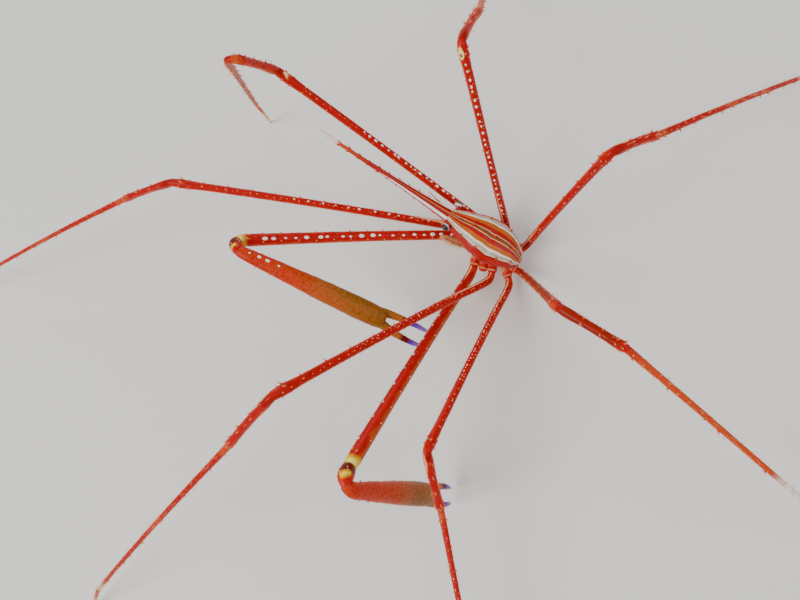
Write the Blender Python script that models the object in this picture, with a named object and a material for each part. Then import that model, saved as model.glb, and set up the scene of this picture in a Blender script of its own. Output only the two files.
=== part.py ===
"""A life-size arrow crab, standing still on its walking legs.

Metres, +Z up, feet at z = 0. The crab's level heading is +X and its left is +Y.
The left leg of the first walking pair is lost, and only the end of its coxa is left.
"""

import math
import random

import bmesh
import bpy
from mathutils import Matrix, Vector

MM = 0.001
GAP = 0.3 * MM
SPINE_SEED = 41
UP = Vector((0, 0, 1))

# Body sizes, in the body's own frame: x forward, y left, z towards the ridge of the back
CARAPACE_REAR = -9.8 * MM
CARAPACE_FRONT = 8.6 * MM
CARAPACE_FLOOR = -1.3 * MM
CARAPACE_HALF_WIDTH = 5.0 * MM
CARAPACE_TOP = 3.9 * MM
ROSTRUM_LENGTH = 31.5 * MM
ROSTRUM_ROOT = 1.5 * MM
ROSTRUM_TIP = 0.28 * MM
THORAX_FLOOR = -4.7 * MM
THORAX_FRONT = 0.6 * MM
THORAX_SLOPE_FROM = -2.4 * MM
THORAX_RISE = 1.6 * MM
ABDOMEN_REAR = -8.6 * MM
ABDOMEN_LENGTH = 5.8 * MM
EYE_RADIUS = 0.8 * MM
EYE_X = 7.8 * MM
EYE_Y = 2.3 * MM
EYE_Z = 0.9 * MM
ANTENNA_LENGTH = 6.0 * MM
ANTENNA_RADIUS = 0.28 * MM
MAXILLIPED_LENGTH = 6.6 * MM

# Stance of the body over the floor
BODY_HEIGHT = 11.7 * MM
BODY_PITCH = math.radians(32.5)
BODY_ROLL = math.radians(9)

# Walking legs: the first pair's merus, and what the later pairs keep of it
MERUS_LENGTH = 70.0 * MM
PAIR_SHARE = {1: 1.0, 2: 0.825, 3: 0.67, 4: 0.576}
CARPUS_SHARE = 0.29
PROPODUS_SHARE = 1.1
DACTYLUS_SHARE = 0.26
DACTYLUS_BEND = math.radians(14)
MERUS_RADIUS = 0.92 * MM
CARPUS_RADIUS = 0.86 * MM
PROPODUS_RADIUS = 0.60 * MM
DACTYLUS_RADIUS = 0.44 * MM
MERUS_BOW = 0.012
PROPODUS_BOW = 0.010

# Where each limb leaves its coxa, in the body's frame and in millimetres, 0 being the chelipeds.
# The limbs cross beside the body, so the two sides differ as each is swung.
HIP = {
    ("left", 0): (-2.3, 4.4, -4.9),
    ("left", 1): (-4.4, 4.5, -4.3),
    ("left", 2): (-6.2, 4.1, -3.4),
    ("left", 3): (-9.8, 3.0, -3.4),
    ("left", 4): (-10.4, 0.9, -2.6),
    ("right", 0): (0.2, -1.9, -5.6),
    ("right", 1): (-0.9, -4.1, -8.0),
    ("right", 2): (-3.9, -4.6, -6.0),
    ("right", 3): (-5.4, -5.3, -4.2),
    ("right", 4): (-9.4, -3.6, -3.2),
}
COXA_ROOT_X = {0: -0.8 * MM, 1: -2.8 * MM, 2: -4.8 * MM, 3: -7.2 * MM, 4: -8.4 * MM}
COXA_ROOT_Y = 0.8 * MM
COXA_ROOT_Z = -3.0 * MM
COXA_RADIUS = 1.05 * MM
ISCHIUM_LENGTH = 2.6 * MM

# Level turn from the heading, left being plus, and rise over the floor, in degrees, of merus and
# of carpus, then the level turn of the propodus, whose drop is worked out from the floor
LEG_POSE = {
    ("left", 2): ((81.4, 42.5), (60.2, -28.9), 62),
    ("left", 3): ((107, 30.9), (119.8, -46.9), 131),
    ("left", 4): ((152.1, 55.5), (176.3, -8), 172.2),
    ("right", 1): ((25, 24.9), (26.8, -17), 37.2),
    ("right", 2): ((1.2, 49.1), (118.8, 61.5), -14.8),
    ("right", 3): ((-62, 70.1), (-66.1, -29.7), -53.2),
    ("right", 4): ((-147.4, 60), (-111, -34.9), -110.8),
}

# Chelipeds: the same turns and rises of merus, carpus and palm
CHELIPED_MERUS = {"left": 54.0 * MM, "right": 52.0 * MM}
CHELIPED_CARPUS = {"left": 6.0 * MM, "right": 5.0 * MM}
PALM_LENGTH = {"left": 24.9 * MM, "right": 30.4 * MM}
FINGER_LENGTH = {"left": 9.5 * MM, "right": 10.5 * MM}
CHELIPED_RADIUS = 1.2 * MM
ELBOW_ROUND = 1.07 * MM
FINGER_RADIUS = 0.74 * MM
FINGER_GAPE = 1.45 * MM
FINGER_BOW = 0.5 * MM
PALM_HALF_DEPTH = 2.3 * MM
PALM_FLATNESS = 0.84
CHELIPED_POSE = {
    "right": ((41.4, 31.7), (164.2, 20.7), (-172.6, -31.5)),
    "left": ((103.5, 30.4), (134.4, 50.3), (-146.5, -78.6)),
}

# Spines: length and root radius
LEG_SPINE = (0.75 * MM, 0.17 * MM)
KNEE_SPINE = (1.3 * MM, 0.24 * MM)
HAND_SPINE = (0.6 * MM, 0.20 * MM)
BACK_SPINE = (0.8 * MM, 0.26 * MM)
ROSTRUM_SPINE = (0.7 * MM, 0.17 * MM)
LEG_SIDES = 8
HAND_SIDES = 10

# Joints turn on an arc: its radius as a share of the limb's, and the least length of half an arc
BEND_SHARE = 1.35
LEAST_TURN = 0.5 * MM

# How thick each length of a limb is along itself: share of the length, share of its radius
MERUS_SHAPE = [(0, 0.84), (0.03, 0.98), (0.10, 0.95), (0.5, 0.88), (0.9, 0.92), (0.965, 1.12),
               (1, 0.98)]
CARPUS_SHAPE = [(0, 1.0), (0.12, 1.1), (0.4, 0.92), (0.75, 0.95), (0.9, 1.05), (1, 0.92)]
PROPODUS_SHAPE = [(0, 1.15), (0.06, 1.1), (0.15, 0.98), (0.6, 0.84), (0.94, 0.78), (1, 0.80)]
DACTYLUS_SHAPE = [(0, 1.05), (0.3, 0.94), (0.7, 0.80), (1, 0.60)]
ARM_SHAPE = [(0, 0.78), (0.05, 0.86), (0.3, 0.88), (0.7, 0.97), (0.96, 1.08), (1, 0.98)]
PALM_SHAPE = [(0, 0.54), (0.08, 0.62), (0.3, 0.76), (0.6, 0.94), (0.84, 1.0), (0.95, 0.96),
              (1, 0.86)]
WRIST_SHAPE = [(0, 0.98), (0.3, 1.16), (0.7, 1.14), (1, 0.9)]

PALETTE = {
    "shell_red": ((0.62, 0.10, 0.03, 1), 0.38),
    "leg_red": ((0.66, 0.09, 0.04, 1), 0.42),
    "hand_orange": ((0.62, 0.20, 0.06, 1), 0.40),
    "finger_violet": ((0.30, 0.16, 0.55, 1), 0.35),
    "flesh": ((0.80, 0.52, 0.36, 1), 0.50),
    "eye_dark": ((0.10, 0.04, 0.03, 1), 0.15),
}


def clear_scene():
    for old in list(bpy.data.objects):
        bpy.data.objects.remove(old, do_unlink=True)


def make_materials():
    made = {}
    for name, (colour, roughness) in PALETTE.items():
        material = bpy.data.materials.new(name)
        material.use_nodes = True
        shader = material.node_tree.nodes["Principled BSDF"]
        shader.inputs["Base Color"].default_value = colour
        shader.inputs["Roughness"].default_value = roughness
        shader.inputs["Metallic"].default_value = 0.0
        made[name] = material
    return made


def heading(turn, rise):
    """The unit vector at a level turn and a rise, both in degrees."""
    a = math.radians(turn)
    b = math.radians(rise)
    return Vector((math.cos(b) * math.cos(a), math.cos(b) * math.sin(a), math.sin(b)))


def mesh_object(name, points, faces, material=None):
    mesh = bpy.data.meshes.new(name)
    mesh.from_pydata([tuple(p) for p in points], [], faces)
    mesh.update()
    obj = bpy.data.objects.new(name, mesh)
    bpy.context.scene.collection.objects.link(obj)
    if material:
        mesh.materials.append(material)
    return obj


def frames_along(path, side):
    """An unturning side vector and direction for each point of a path."""
    frames = []
    for i, point in enumerate(path):
        ahead = path[min(i + 1, len(path) - 1)] - path[max(i - 1, 0)]
        ahead.normalize()
        side = (side - ahead * side.dot(ahead)).normalized()
        frames.append((point, ahead, side, ahead.cross(side)))
    return frames


def onto_plane(point, along, origin, normal):
    """The point moved along a direction onto a plane."""
    return point + along * ((origin - point).dot(normal) / along.dot(normal))


def tube(path, radii, sides, side=UP, start=None, end=None):
    """Points and faces of a closed tube; start and end are the normals of its two flat ends."""
    points = []
    frames = frames_along(path, side)
    last = len(frames) - 1
    for i, (centre, ahead, across, over) in enumerate(frames):
        wide, deep = radii[i] if isinstance(radii[i], tuple) else (radii[i], radii[i])
        for k in range(sides):
            a = 2 * math.pi * k / sides
            point = centre + across * (wide * math.cos(a)) + over * (deep * math.sin(a))
            if i == 0 and start:
                point = onto_plane(point, ahead, centre, start)
            if i == last and end:
                point = onto_plane(point, ahead, centre, end)
            points.append(point)
    faces = [tuple(reversed(range(sides)))]
    for i in range(last):
        for k in range(sides):
            a = i * sides + k
            b = i * sides + (k + 1) % sides
            faces.append((a, b, b + sides, a + sides))
    faces.append(tuple(last * sides + k for k in range(sides)))
    return points, faces


def bowed(start, end, rise, count):
    """Points from start to end along a shallow arc that rises by the given height."""
    out = []
    for i in range(count):
        t = i / (count - 1)
        out.append(start.lerp(end, t) + UP * (rise * 4 * t * (1 - t)))
    return out


def spine(name, root, out, length, radius):
    """A thin, three-sided cone whose root is sunk in the surface at root."""
    across = out.orthogonal().normalized()
    over = out.cross(across)
    base = root - out * (1.2 * radius)
    ring = [base + (across * math.cos(a) + over * math.sin(a)) * radius
            for a in (2 * math.pi * k / 3 for k in range(3))]
    faces = [(2, 1, 0), (0, 1, 3), (1, 2, 3), (2, 0, 3)]
    return mesh_object(name, ring + [root + out * length], faces)


def keep_largest(obj):
    """Keeps the largest closed surface of a mesh."""
    work = bmesh.new()
    work.from_mesh(obj.data)
    work.faces.ensure_lookup_table()
    left = set(work.faces)
    groups = []
    while left:
        stack = [left.pop()]
        group = set(stack)
        while stack:
            for edge in stack.pop().edges:
                for face in edge.link_faces:
                    if face in left:
                        left.discard(face)
                        group.add(face)
                        stack.append(face)
        groups.append(group)
    groups.sort(key=lambda g: sum(f.calc_area() for f in g))
    for group in groups[:-1]:
        bmesh.ops.delete(work, geom=list(group), context="FACES")
    work.to_mesh(obj.data)
    work.free()


def fuse(obj, pieces):
    """Joins closed pieces onto an object with one Boolean union and removes them."""
    if not pieces:
        return obj
    group = bpy.data.collections.new("pieces_of_" + obj.name)
    bpy.context.scene.collection.children.link(group)
    for piece in pieces:
        bpy.context.scene.collection.objects.unlink(piece)
        group.objects.link(piece)
    union = obj.modifiers.new("union", "BOOLEAN")
    union.operation = "UNION"
    union.operand_type = "COLLECTION"
    union.solver = "EXACT"
    union.collection = group
    bpy.context.view_layer.update()
    graph = bpy.context.evaluated_depsgraph_get()
    joined = bpy.data.meshes.new_from_object(obj.evaluated_get(graph))
    obj.modifiers.clear()
    obj.data = joined
    for piece in pieces:
        bpy.data.objects.remove(piece, do_unlink=True)
    bpy.data.collections.remove(group)
    keep_largest(obj)
    return obj


def shade(obj):
    obj.data.shade_smooth()
    obj.data.set_sharp_from_angle(angle=math.radians(50))


class Row:
    """Picks seeded, slightly uneven values for a row of spines."""

    def __init__(self, seed):
        self.random = random.Random(SPINE_SEED + seed)

    def vary(self, value, share=0.25):
        return value * self.random.uniform(1 - share, 1 + share)

    def between(self, low, high):
        return self.random.uniform(low, high)


def spines_along(tube_made, places, turns, size, row, lean=0.35):
    """Sets a spine at each share of a tube's length and each turn round it, and lists them."""
    frames, radii, shares = tube_made
    length, radius = size
    pieces = []
    for place in places:
        low = 0
        while low < len(shares) - 2 and shares[low + 1] < place:
            low += 1
        blend = (place - shares[low]) / (shares[low + 1] - shares[low])
        centre = frames[low][0].lerp(frames[low + 1][0], blend)
        ahead, across, over = frames[low][1:]
        wide = radii[low][0] + (radii[low + 1][0] - radii[low][0]) * blend
        deep = radii[low][1] + (radii[low + 1][1] - radii[low][1]) * blend
        for turn in turns:
            a = math.radians(turn + row.between(-9, 9))
            out = across * math.cos(a) + over * math.sin(a)
            root = centre + across * (wide * math.cos(a)) + over * (deep * math.sin(a))
            aim = (out + ahead * lean).normalized()
            pieces.append(spine("spine", root - out * (0.12 * deep), aim, row.vary(length),
                                row.vary(radius, 0.15)))
    return pieces


BODY = (Matrix.Translation((0, 0, BODY_HEIGHT))
        @ Matrix.Rotation(-BODY_PITCH, 4, "Y") @ Matrix.Rotation(BODY_ROLL, 4, "X"))


def on_body(x, y, z):
    return BODY @ Vector((x, y, z))


def body_way(x, y, z):
    return (BODY.to_3x3() @ Vector((x, y, z))).normalized()


def carapace_half(x):
    """Half width of the carapace at a place along the body: pear-shaped, narrow at the eyes."""
    stops = [(CARAPACE_REAR, 0.20), (-9.0 * MM, 0.42), (-7.7 * MM, 0.62), (-4.5 * MM, 0.90),
             (-2.0 * MM, 1.0), (1.0 * MM, 0.92), (4.0 * MM, 0.72), (5.3 * MM, 0.62),
             (7.2 * MM, 0.46), (CARAPACE_FRONT, 0.31)]
    return CARAPACE_HALF_WIDTH * along_stops(stops, x)


def carapace_ridge(x):
    """Height of the back's ridge above the body's axis."""
    stops = [(CARAPACE_REAR, 0.10), (-8.8 * MM, 0.48), (-6.5 * MM, 0.90), (-3.5 * MM, 1.0),
             (0.0, 0.92), (3.0 * MM, 0.72), (6.0 * MM, 0.52), (CARAPACE_FRONT, 0.40)]
    return CARAPACE_TOP * along_stops(stops, x)


def along_stops(stops, x):
    """A smooth reading between stops of place and value."""
    if x <= stops[0][0]:
        return stops[0][1]
    for (a, low), (b, high) in zip(stops, stops[1:]):
        if x <= b:
            t = (x - a) / (b - a)
            return low + (high - low) * t * t * (3 - 2 * t) * 0.5 + (high - low) * t * 0.5
    return stops[-1][1]


def section(x, half, ridge, floor, sides):
    """One cross-section of the carapace: domed back, sides drawn in, flat underside."""
    points = []
    edge = floor + 0.35 * (ridge - floor)
    for k in range(sides + 1):
        a = math.pi * k / sides
        y = half * math.copysign(abs(math.cos(a)) ** 0.85, math.cos(a))
        z = edge + (ridge - edge) * math.sin(a) ** 0.9
        points.append(on_body(x, y, z))
    for y in (-0.86, -0.45, 0.45, 0.86):
        points.append(on_body(x, y * half, floor))
    return points


def loft(name, rings, material):
    """A closed solid through rings of equal length, with flat ends."""
    size = len(rings[0])
    points = [p for ring in rings for p in ring]
    faces = [tuple(reversed(range(size)))]
    for i in range(len(rings) - 1):
        for k in range(size):
            a = i * size + k
            b = i * size + (k + 1) % size
            faces.append((a, b, b + size, a + size))
    faces.append(tuple((len(rings) - 1) * size + k for k in range(size)))
    obj = mesh_object(name, points, faces, material)
    outward(obj)
    return obj


def outward(obj):
    work = bmesh.new()
    work.from_mesh(obj.data)
    bmesh.ops.recalc_face_normals(work, faces=work.faces)
    work.to_mesh(obj.data)
    work.free()


def build_carapace(made):
    count = 19
    rings = []
    for i in range(count):
        x = CARAPACE_REAR + (CARAPACE_FRONT - CARAPACE_REAR) * i / (count - 1)
        rings.append(section(x, carapace_half(x), carapace_ridge(x), CARAPACE_FLOOR, 14))
    shell = loft("carapace", rings, made["shell_red"])
    row = Row(1)
    pieces = []
    places = [(-6.2, 0.0), (-1.6, 0.0), (3.4, 0.0), (-4.2, 0.78), (0.6, 0.80), (4.4, 0.82),
              (-7.4, 0.68)]
    for x, share in places:
        for side in ((1, -1) if share else (1,)):
            y = share * carapace_half(x * MM)
            z = carapace_surface(x * MM, y)
            out = body_way(0.05, side * share * 0.9, 1.0)
            pieces.append(spine("carapace_spine", on_body(x * MM, side * y, z), out,
                                row.vary(BACK_SPINE[0]), row.vary(BACK_SPINE[1], 0.1)))
    fuse(shell, pieces)
    shade(shell)


def carapace_surface(x, y):
    """Height of the back at a place, level with the body's axis at zero."""
    half = carapace_half(x)
    ridge = carapace_ridge(x)
    edge = CARAPACE_FLOOR + 0.35 * (ridge - CARAPACE_FLOOR)
    a = math.acos(min(1.0, (abs(y) / half) ** (1 / 0.85)))
    return edge + (ridge - edge) * math.sin(a) ** 0.9


def build_rostrum(made):
    count = 12
    start = CARAPACE_FRONT + GAP
    path = []
    radii = []
    for i in range(count):
        t = i / (count - 1)
        path.append(on_body(start + ROSTRUM_LENGTH * t, 0, (0.15 + 0.6 * t * t) * MM))
        thick = ROSTRUM_ROOT + (ROSTRUM_TIP - ROSTRUM_ROOT) * (1 - (1 - t) ** 2.2)
        radii.append((thick, thick * 0.86))
    forward = body_way(1, 0, 0)
    side = body_way(0, 1, 0)
    points, faces = tube(path, radii, HAND_SIDES, side, forward, forward)
    beak = mesh_object("rostrum", points, faces, made["shell_red"])
    outward(beak)
    places = [0.10 + 0.075 * i for i in range(11)]
    row = Row(2)
    made_tube = (frames_along(path, side), radii, shares_along(path))
    pieces = spines_along(made_tube, places, (8, 172), ROSTRUM_SPINE, row, 0.9)
    fuse(beak, pieces)
    shade(beak)


def build_eye(made, name, sign):
    """A short stalk and its globe, turned as one piece and set on the side of the head."""
    out = body_way(0.25, sign, 0.12)
    root = on_body(EYE_X, sign * EYE_Y, EYE_Z)
    profile = [(0.0, 0.60), (0.2, 0.68), (0.45, 0.90), (0.8, 1.0), (1.2, 0.94), (1.5, 0.70),
               (1.68, 0.34)]
    path = [root + out * (EYE_RADIUS * reach) for reach, _ in profile]
    radii = [EYE_RADIUS * size for _, size in profile]
    points, faces = tube(path, radii, 12, body_way(1, 0, 0), body_way(0, sign, 0))
    globe = mesh_object(name, points, faces, made["eye_dark"])
    outward(globe)
    shade(globe)


def build_antenna(made, name, sign):
    start = on_body(CARAPACE_FRONT + GAP, sign * 1.35 * MM, -1.15 * MM)
    end = start + body_way(1, sign * 0.35, -0.25) * ANTENNA_LENGTH
    path = bowed(start, end, -0.2 * MM, 5)
    forward = body_way(1, 0, 0)
    radii = [ANTENNA_RADIUS * (1 - 0.10 * i) for i in range(5)]
    points, faces = tube(path, radii, 6, body_way(0, 1, 0), forward)
    horn = mesh_object(name, points, faces, made["flesh"])
    outward(horn)
    shade(horn)


def thorax_half(x):
    return 0.74 * carapace_half(x)


def build_thorax(made):
    """The sternum and flanks under the carapace, with the ends of the limbs' coxae."""
    rings = []
    top = CARAPACE_FLOOR - GAP
    count = 11
    rear = CARAPACE_REAR + 0.5 * MM
    for i in range(count):
        x = rear + (THORAX_FRONT - rear) * i / (count - 1)
        half = thorax_half(x)
        slope = (x - THORAX_SLOPE_FROM) / (THORAX_FRONT - THORAX_SLOPE_FROM)
        depth = THORAX_FLOOR + THORAX_RISE * max(0.0, slope)
        ring = []
        for k in range(10):
            a = math.pi * k / 9
            ring.append(on_body(x, half * math.cos(a), top + (depth - top) * math.sin(a) ** 0.7))
        rings.append(ring)
    trunk = loft("thorax", rings, made["flesh"])
    pieces = []
    for limb in HIP:
        start = coxa_root(limb)
        end = hip(limb)
        path = [start.lerp(end, t) for t in (0.0, 0.45, 0.8, 1.0)]
        radii = [COXA_RADIUS * s for s in (0.7, 0.95, 1.0, 0.86)]
        points, faces = tube(path, radii, LEG_SIDES, UP)
        coxa = mesh_object("coxa", points, faces)
        outward(coxa)
        pieces.append(coxa)
    fuse(trunk, pieces)
    shade(trunk)


def coxa_root(limb):
    """The inner end of a coxa, inside the thorax."""
    side_name, pair = limb
    side = 1 if side_name == "left" else -1
    return on_body(COXA_ROOT_X[pair], side * COXA_ROOT_Y, COXA_ROOT_Z)


def hip(limb):
    """Where a limb leaves its coxa."""
    return on_body(*(MM * place for place in HIP[limb]))


def coxa_way(limb):
    """The way a coxa points."""
    return (hip(limb) - coxa_root(limb)).normalized()


def build_abdomen(made):
    """The tail plate, folded flat under the thorax."""
    rings = []
    for i in range(7):
        t = i / 6
        x = ABDOMEN_REAR + ABDOMEN_LENGTH * t
        half = (1.1 + 0.5 * math.sin(math.pi * t)) * MM
        top = THORAX_FLOOR - GAP
        ring = [on_body(x, half, top), on_body(x, half * 0.6, top - 0.55 * MM),
                on_body(x, 0, top - 0.75 * MM), on_body(x, -half * 0.6, top - 0.55 * MM),
                on_body(x, -half, top)]
        rings.append(ring)
    plate = loft("abdomen", rings, made["flesh"])
    shade(plate)


def build_maxilliped(made, name, sign):
    """One of the pair of flat mouth limbs in front of the thorax."""
    start = on_body(THORAX_FRONT + GAP, (2.3 if sign > 0 else -1.6) * MM, -2.6 * MM)
    way = body_way(1, 0.2 if sign > 0 else 0.05, -0.05)
    shares = [(0.0, 0.55), (0.15, 0.85), (0.4, 0.95), (0.7, 0.8), (0.9, 0.55), (1.0, 0.25)]
    path = [start + way * (MAXILLIPED_LENGTH * t) for t, _ in shares]
    radii = [(0.95 * MM * w * 0.9, 0.55 * MM * w) for _, w in shares]
    points, faces = tube(path, radii, 8, body_way(0, 1, 0), body_way(1, 0, 0))
    limb = mesh_object(name, points, faces, made["flesh"])
    outward(limb)
    shade(limb)


def turn_at(corner, before, after, radius):
    """Rounds the corner between two lengths of a limb: the last points of the first length, the
    first points of the second, and the way both take where they meet."""
    fold = before.angle(after)
    bend = max(BEND_SHARE * radius, LEAST_TURN / (fold / 2))
    across = (after - before * math.cos(fold)).normalized()
    centre = corner - before * (bend * math.tan(fold / 2)) + across * bend
    stop = fold / 2 - GAP / 2 / bend

    def on_arc(angle):
        return centre - across * (bend * math.cos(angle)) + before * (bend * math.sin(angle))

    ending = [on_arc(stop * share) for share in (0.0, 0.35, 0.7, 1.0)]
    starting = [on_arc(fold - stop * share) for share in (1.0, 0.7, 0.35, 0.0)]
    return ending, starting, (before + after).normalized()


def shares_along(path):
    """The share of a path's length at each of its points."""
    gone = [0.0]
    for before, after in zip(path, path[1:]):
        gone.append(gone[-1] + (after - before).length)
    return [g / gone[-1] for g in gone]


def between(first, last, bow, count):
    """Points between two points, without them, along a shallow upward bow."""
    out = []
    for i in range(1, count + 1):
        t = i / (count + 1)
        out.append(first.lerp(last, t) + UP * (bow * 4 * t * (1 - t)))
    return out


def length_node(name, path, shape, radius, sides, material, planes, side=UP, flat=1.0):
    """One length of a limb as a closed solid, and what its spines are set by."""
    shares = shares_along(path)
    radii = []
    for share in shares:
        r = radius * along_stops(shape, share)
        radii.append((r, r * flat))
    points, faces = tube(path, radii, sides, side, *planes)
    obj = mesh_object(name, points, faces, material)
    outward(obj)
    return obj, (frames_along(path, side), radii, shares)


def hip_turn(start, out, way):
    """The short bent ischium: the first points of a limb, from its coxa into its merus."""
    corner = start + out * (0.5 * ISCHIUM_LENGTH)
    last = corner + way * (0.5 * ISCHIUM_LENGTH)
    points = []
    for share in (0.0, 0.25, 0.5, 0.75, 1.0):
        points.append(start * (1 - share) ** 2 + corner * (2 * share * (1 - share))
                      + last * share ** 2)
    return points


def drop_to_floor(height, propodus, dactylus):
    """The propodus's drop that puts the claw's end on the floor."""
    low = 0.0
    high = math.radians(75)
    for _ in range(40):
        drop = (low + high) / 2
        reach = propodus * math.sin(drop) + dactylus * math.sin(drop + DACTYLUS_BEND)
        low, high = (low, drop) if reach > height else (drop, high)
    return drop


def leg_points(limb):
    """The joints of a walking leg from its hip to the floor, and the ways of its lengths."""
    merus_turn, carpus_turn, propodus_turn = LEG_POSE[limb]
    merus = MERUS_LENGTH * PAIR_SHARE[limb[1]]
    ways = [heading(*merus_turn), heading(*carpus_turn)]
    start = hip(limb) + coxa_way(limb) * GAP
    knee = start + ways[0] * merus
    wrist = knee + ways[1] * (merus * CARPUS_SHARE)
    propodus = merus * PROPODUS_SHARE
    dactylus = merus * DACTYLUS_SHARE
    drop = math.degrees(drop_to_floor(wrist.z, propodus, dactylus))
    ways.append(heading(propodus_turn, -drop))
    ways.append(heading(propodus_turn, -drop - math.degrees(DACTYLUS_BEND)))
    heel = wrist + ways[2] * propodus
    claw = heel + ways[3] * dactylus
    claw.z = 0.0
    return [start, knee, wrist, heel, claw], ways


def build_leg(made, limb):
    side_name, pair = limb
    name = f"leg_{side_name}_{pair}"
    (start, knee, wrist, heel, claw), ways = leg_points(limb)
    paint = made["leg_red"]
    row = Row(10 * pair + (side_name == "left"))
    out = coxa_way(limb)
    share = PAIR_SHARE[pair] / PAIR_SHARE[1]
    slim = 0.82 + 0.18 * share
    to_knee, from_knee, knee_way = turn_at(knee, ways[0], ways[1], CARPUS_RADIUS)
    to_wrist, from_wrist, wrist_way = turn_at(wrist, ways[1], ways[2], CARPUS_RADIUS)
    to_heel, from_heel, heel_way = turn_at(heel, ways[2], ways[3], DACTYLUS_RADIUS)

    first = hip_turn(start, out, ways[0])
    path = first + between(first[-1], to_knee[0], MERUS_BOW * (knee - start).length, 5) + to_knee
    merus, made_tube = length_node(name + "_merus", path, MERUS_SHAPE, MERUS_RADIUS * slim,
                                   LEG_SIDES, paint, (out, knee_way))
    count = max(4, round(11 * share))
    places = [0.14 + 0.76 * i / (count - 1) for i in range(count)]
    pieces = spines_along(made_tube, places, (35, 325), LEG_SPINE, row)
    pieces += spines_along(made_tube, [0.962], (20, 180, 340), KNEE_SPINE, row, 0.9)
    fuse(merus, pieces)
    shade(merus)

    path = from_knee + between(from_knee[-1], to_wrist[0], 0.25 * MM, 2) + to_wrist
    carpus, made_tube = length_node(name + "_carpus", path, CARPUS_SHAPE, CARPUS_RADIUS * slim,
                                    LEG_SIDES, paint, (knee_way, wrist_way))
    fuse(carpus, spines_along(made_tube, (0.34, 0.62, 0.84), (30, 330), LEG_SPINE, row))
    shade(carpus)

    bow = PROPODUS_BOW * (heel - wrist).length
    path = from_wrist + between(from_wrist[-1], to_heel[0], bow, 4) + to_heel
    propodus, made_tube = length_node(name + "_propodus", path, PROPODUS_SHAPE,
                                      PROPODUS_RADIUS * slim, LEG_SIDES, paint,
                                      (wrist_way, heel_way))
    count = max(3, round(7 * share))
    places = [0.12 + 0.8 * i / (count - 1) for i in range(count)]
    fuse(propodus, spines_along(made_tube, places, (150, 215), LEG_SPINE, row, 0.6))
    shade(propodus)

    path = from_heel + between(from_heel[-1], claw, 0.0, 2) + [claw]
    dactylus, _ = length_node(name + "_dactylus", path, DACTYLUS_SHAPE, DACTYLUS_RADIUS,
                              LEG_SIDES, paint, (heel_way, UP))
    shade(dactylus)


def build_cheliped(made, side_name):
    name = f"cheliped_{side_name}"
    limb = (side_name, 0)
    ways = [heading(*turn) for turn in CHELIPED_POSE[side_name]]
    row = Row(70 + (side_name == "left"))
    out = coxa_way(limb)
    start = hip(limb) + out * GAP
    elbow = start + ways[0] * CHELIPED_MERUS[side_name]
    wrist = elbow + ways[1] * CHELIPED_CARPUS[side_name]
    to_elbow, from_elbow, elbow_way = turn_at(elbow, ways[0], ways[1], ELBOW_ROUND)
    to_wrist, from_wrist, wrist_way = turn_at(wrist, ways[1], ways[2], ELBOW_ROUND)

    first = hip_turn(start, out, ways[0])
    path = first + between(first[-1], to_elbow[0], 0.01 * (elbow - start).length, 5) + to_elbow
    merus, made_tube = length_node(name + "_merus", path, ARM_SHAPE, CHELIPED_RADIUS, HAND_SIDES,
                                   made["leg_red"], (out, elbow_way))
    places = [0.14 + 0.76 * i / 11 for i in range(12)]
    pieces = spines_along(made_tube, places, (40, 300), HAND_SPINE, row)
    pieces += spines_along(made_tube, [0.95], (20, 340), KNEE_SPINE, row, 0.9)
    fuse(merus, pieces)
    shade(merus)

    path = from_elbow + to_wrist
    carpus, made_tube = length_node(name + "_carpus", path, WRIST_SHAPE, CHELIPED_RADIUS,
                                    HAND_SIDES, made["leg_red"], (elbow_way, wrist_way))
    fuse(carpus, spines_along(made_tube, (0.45, 0.6), (30, 330), HAND_SPINE, row))
    shade(carpus)
    build_hand(made, side_name, from_wrist, ways[2], wrist_way, row)


def build_hand(made, side_name, first, way, start_plane, row):
    """The palm with its fixed finger, and the moving finger beside it, slightly open."""
    name = f"cheliped_{side_name}"
    gape = (UP.cross(way) if side_name == "left" else way.cross(UP)).normalized()
    end = first[-1] + way * PALM_LENGTH[side_name]
    path = first + [first[-1].lerp(end, s) for s in (0.12, 0.30, 0.50, 0.70, 0.86, 0.95, 1.0)]
    palm, made_tube = length_node(name + "_palm", path, PALM_SHAPE, PALM_HALF_DEPTH, HAND_SIDES,
                                  made["hand_orange"], (start_plane, way), gape, PALM_FLATNESS)
    root = end - way * (1.6 * MM) - gape * (0.50 * PALM_HALF_DEPTH)
    tip = end + way * FINGER_LENGTH[side_name] - gape * FINGER_GAPE
    pieces = [finger("fixed_finger", root, tip, -gape, FINGER_RADIUS, None)]
    places = [0.12 + 0.78 * i / 8 for i in range(9)]
    pieces += spines_along(made_tube, places, (20, 160, 340), HAND_SPINE, row)
    fuse(palm, pieces)
    shade(palm)
    root = end + way * GAP + gape * (0.42 * PALM_HALF_DEPTH)
    tip = end + way * FINGER_LENGTH[side_name] + gape * FINGER_GAPE
    mover = finger(name + "_finger", root, tip, gape, FINGER_RADIUS, way)
    mover.data.materials.append(made["finger_violet"])
    shade(mover)


def finger(name, root, tip, bow, radius, start_plane):
    """A tapered finger that bows outwards between its root and its tip."""
    count = 7
    path = []
    for i in range(count):
        t = i / (count - 1)
        path.append(root.lerp(tip, t) + bow * (FINGER_BOW * 4 * t * (1 - t)))
    radii = [radius * s for s in (1.0, 0.98, 0.92, 0.84, 0.72, 0.55, 0.30)]
    points, faces = tube(path, radii, LEG_SIDES, bow, start_plane)
    obj = mesh_object(name, points, faces)
    outward(obj)
    return obj


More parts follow.
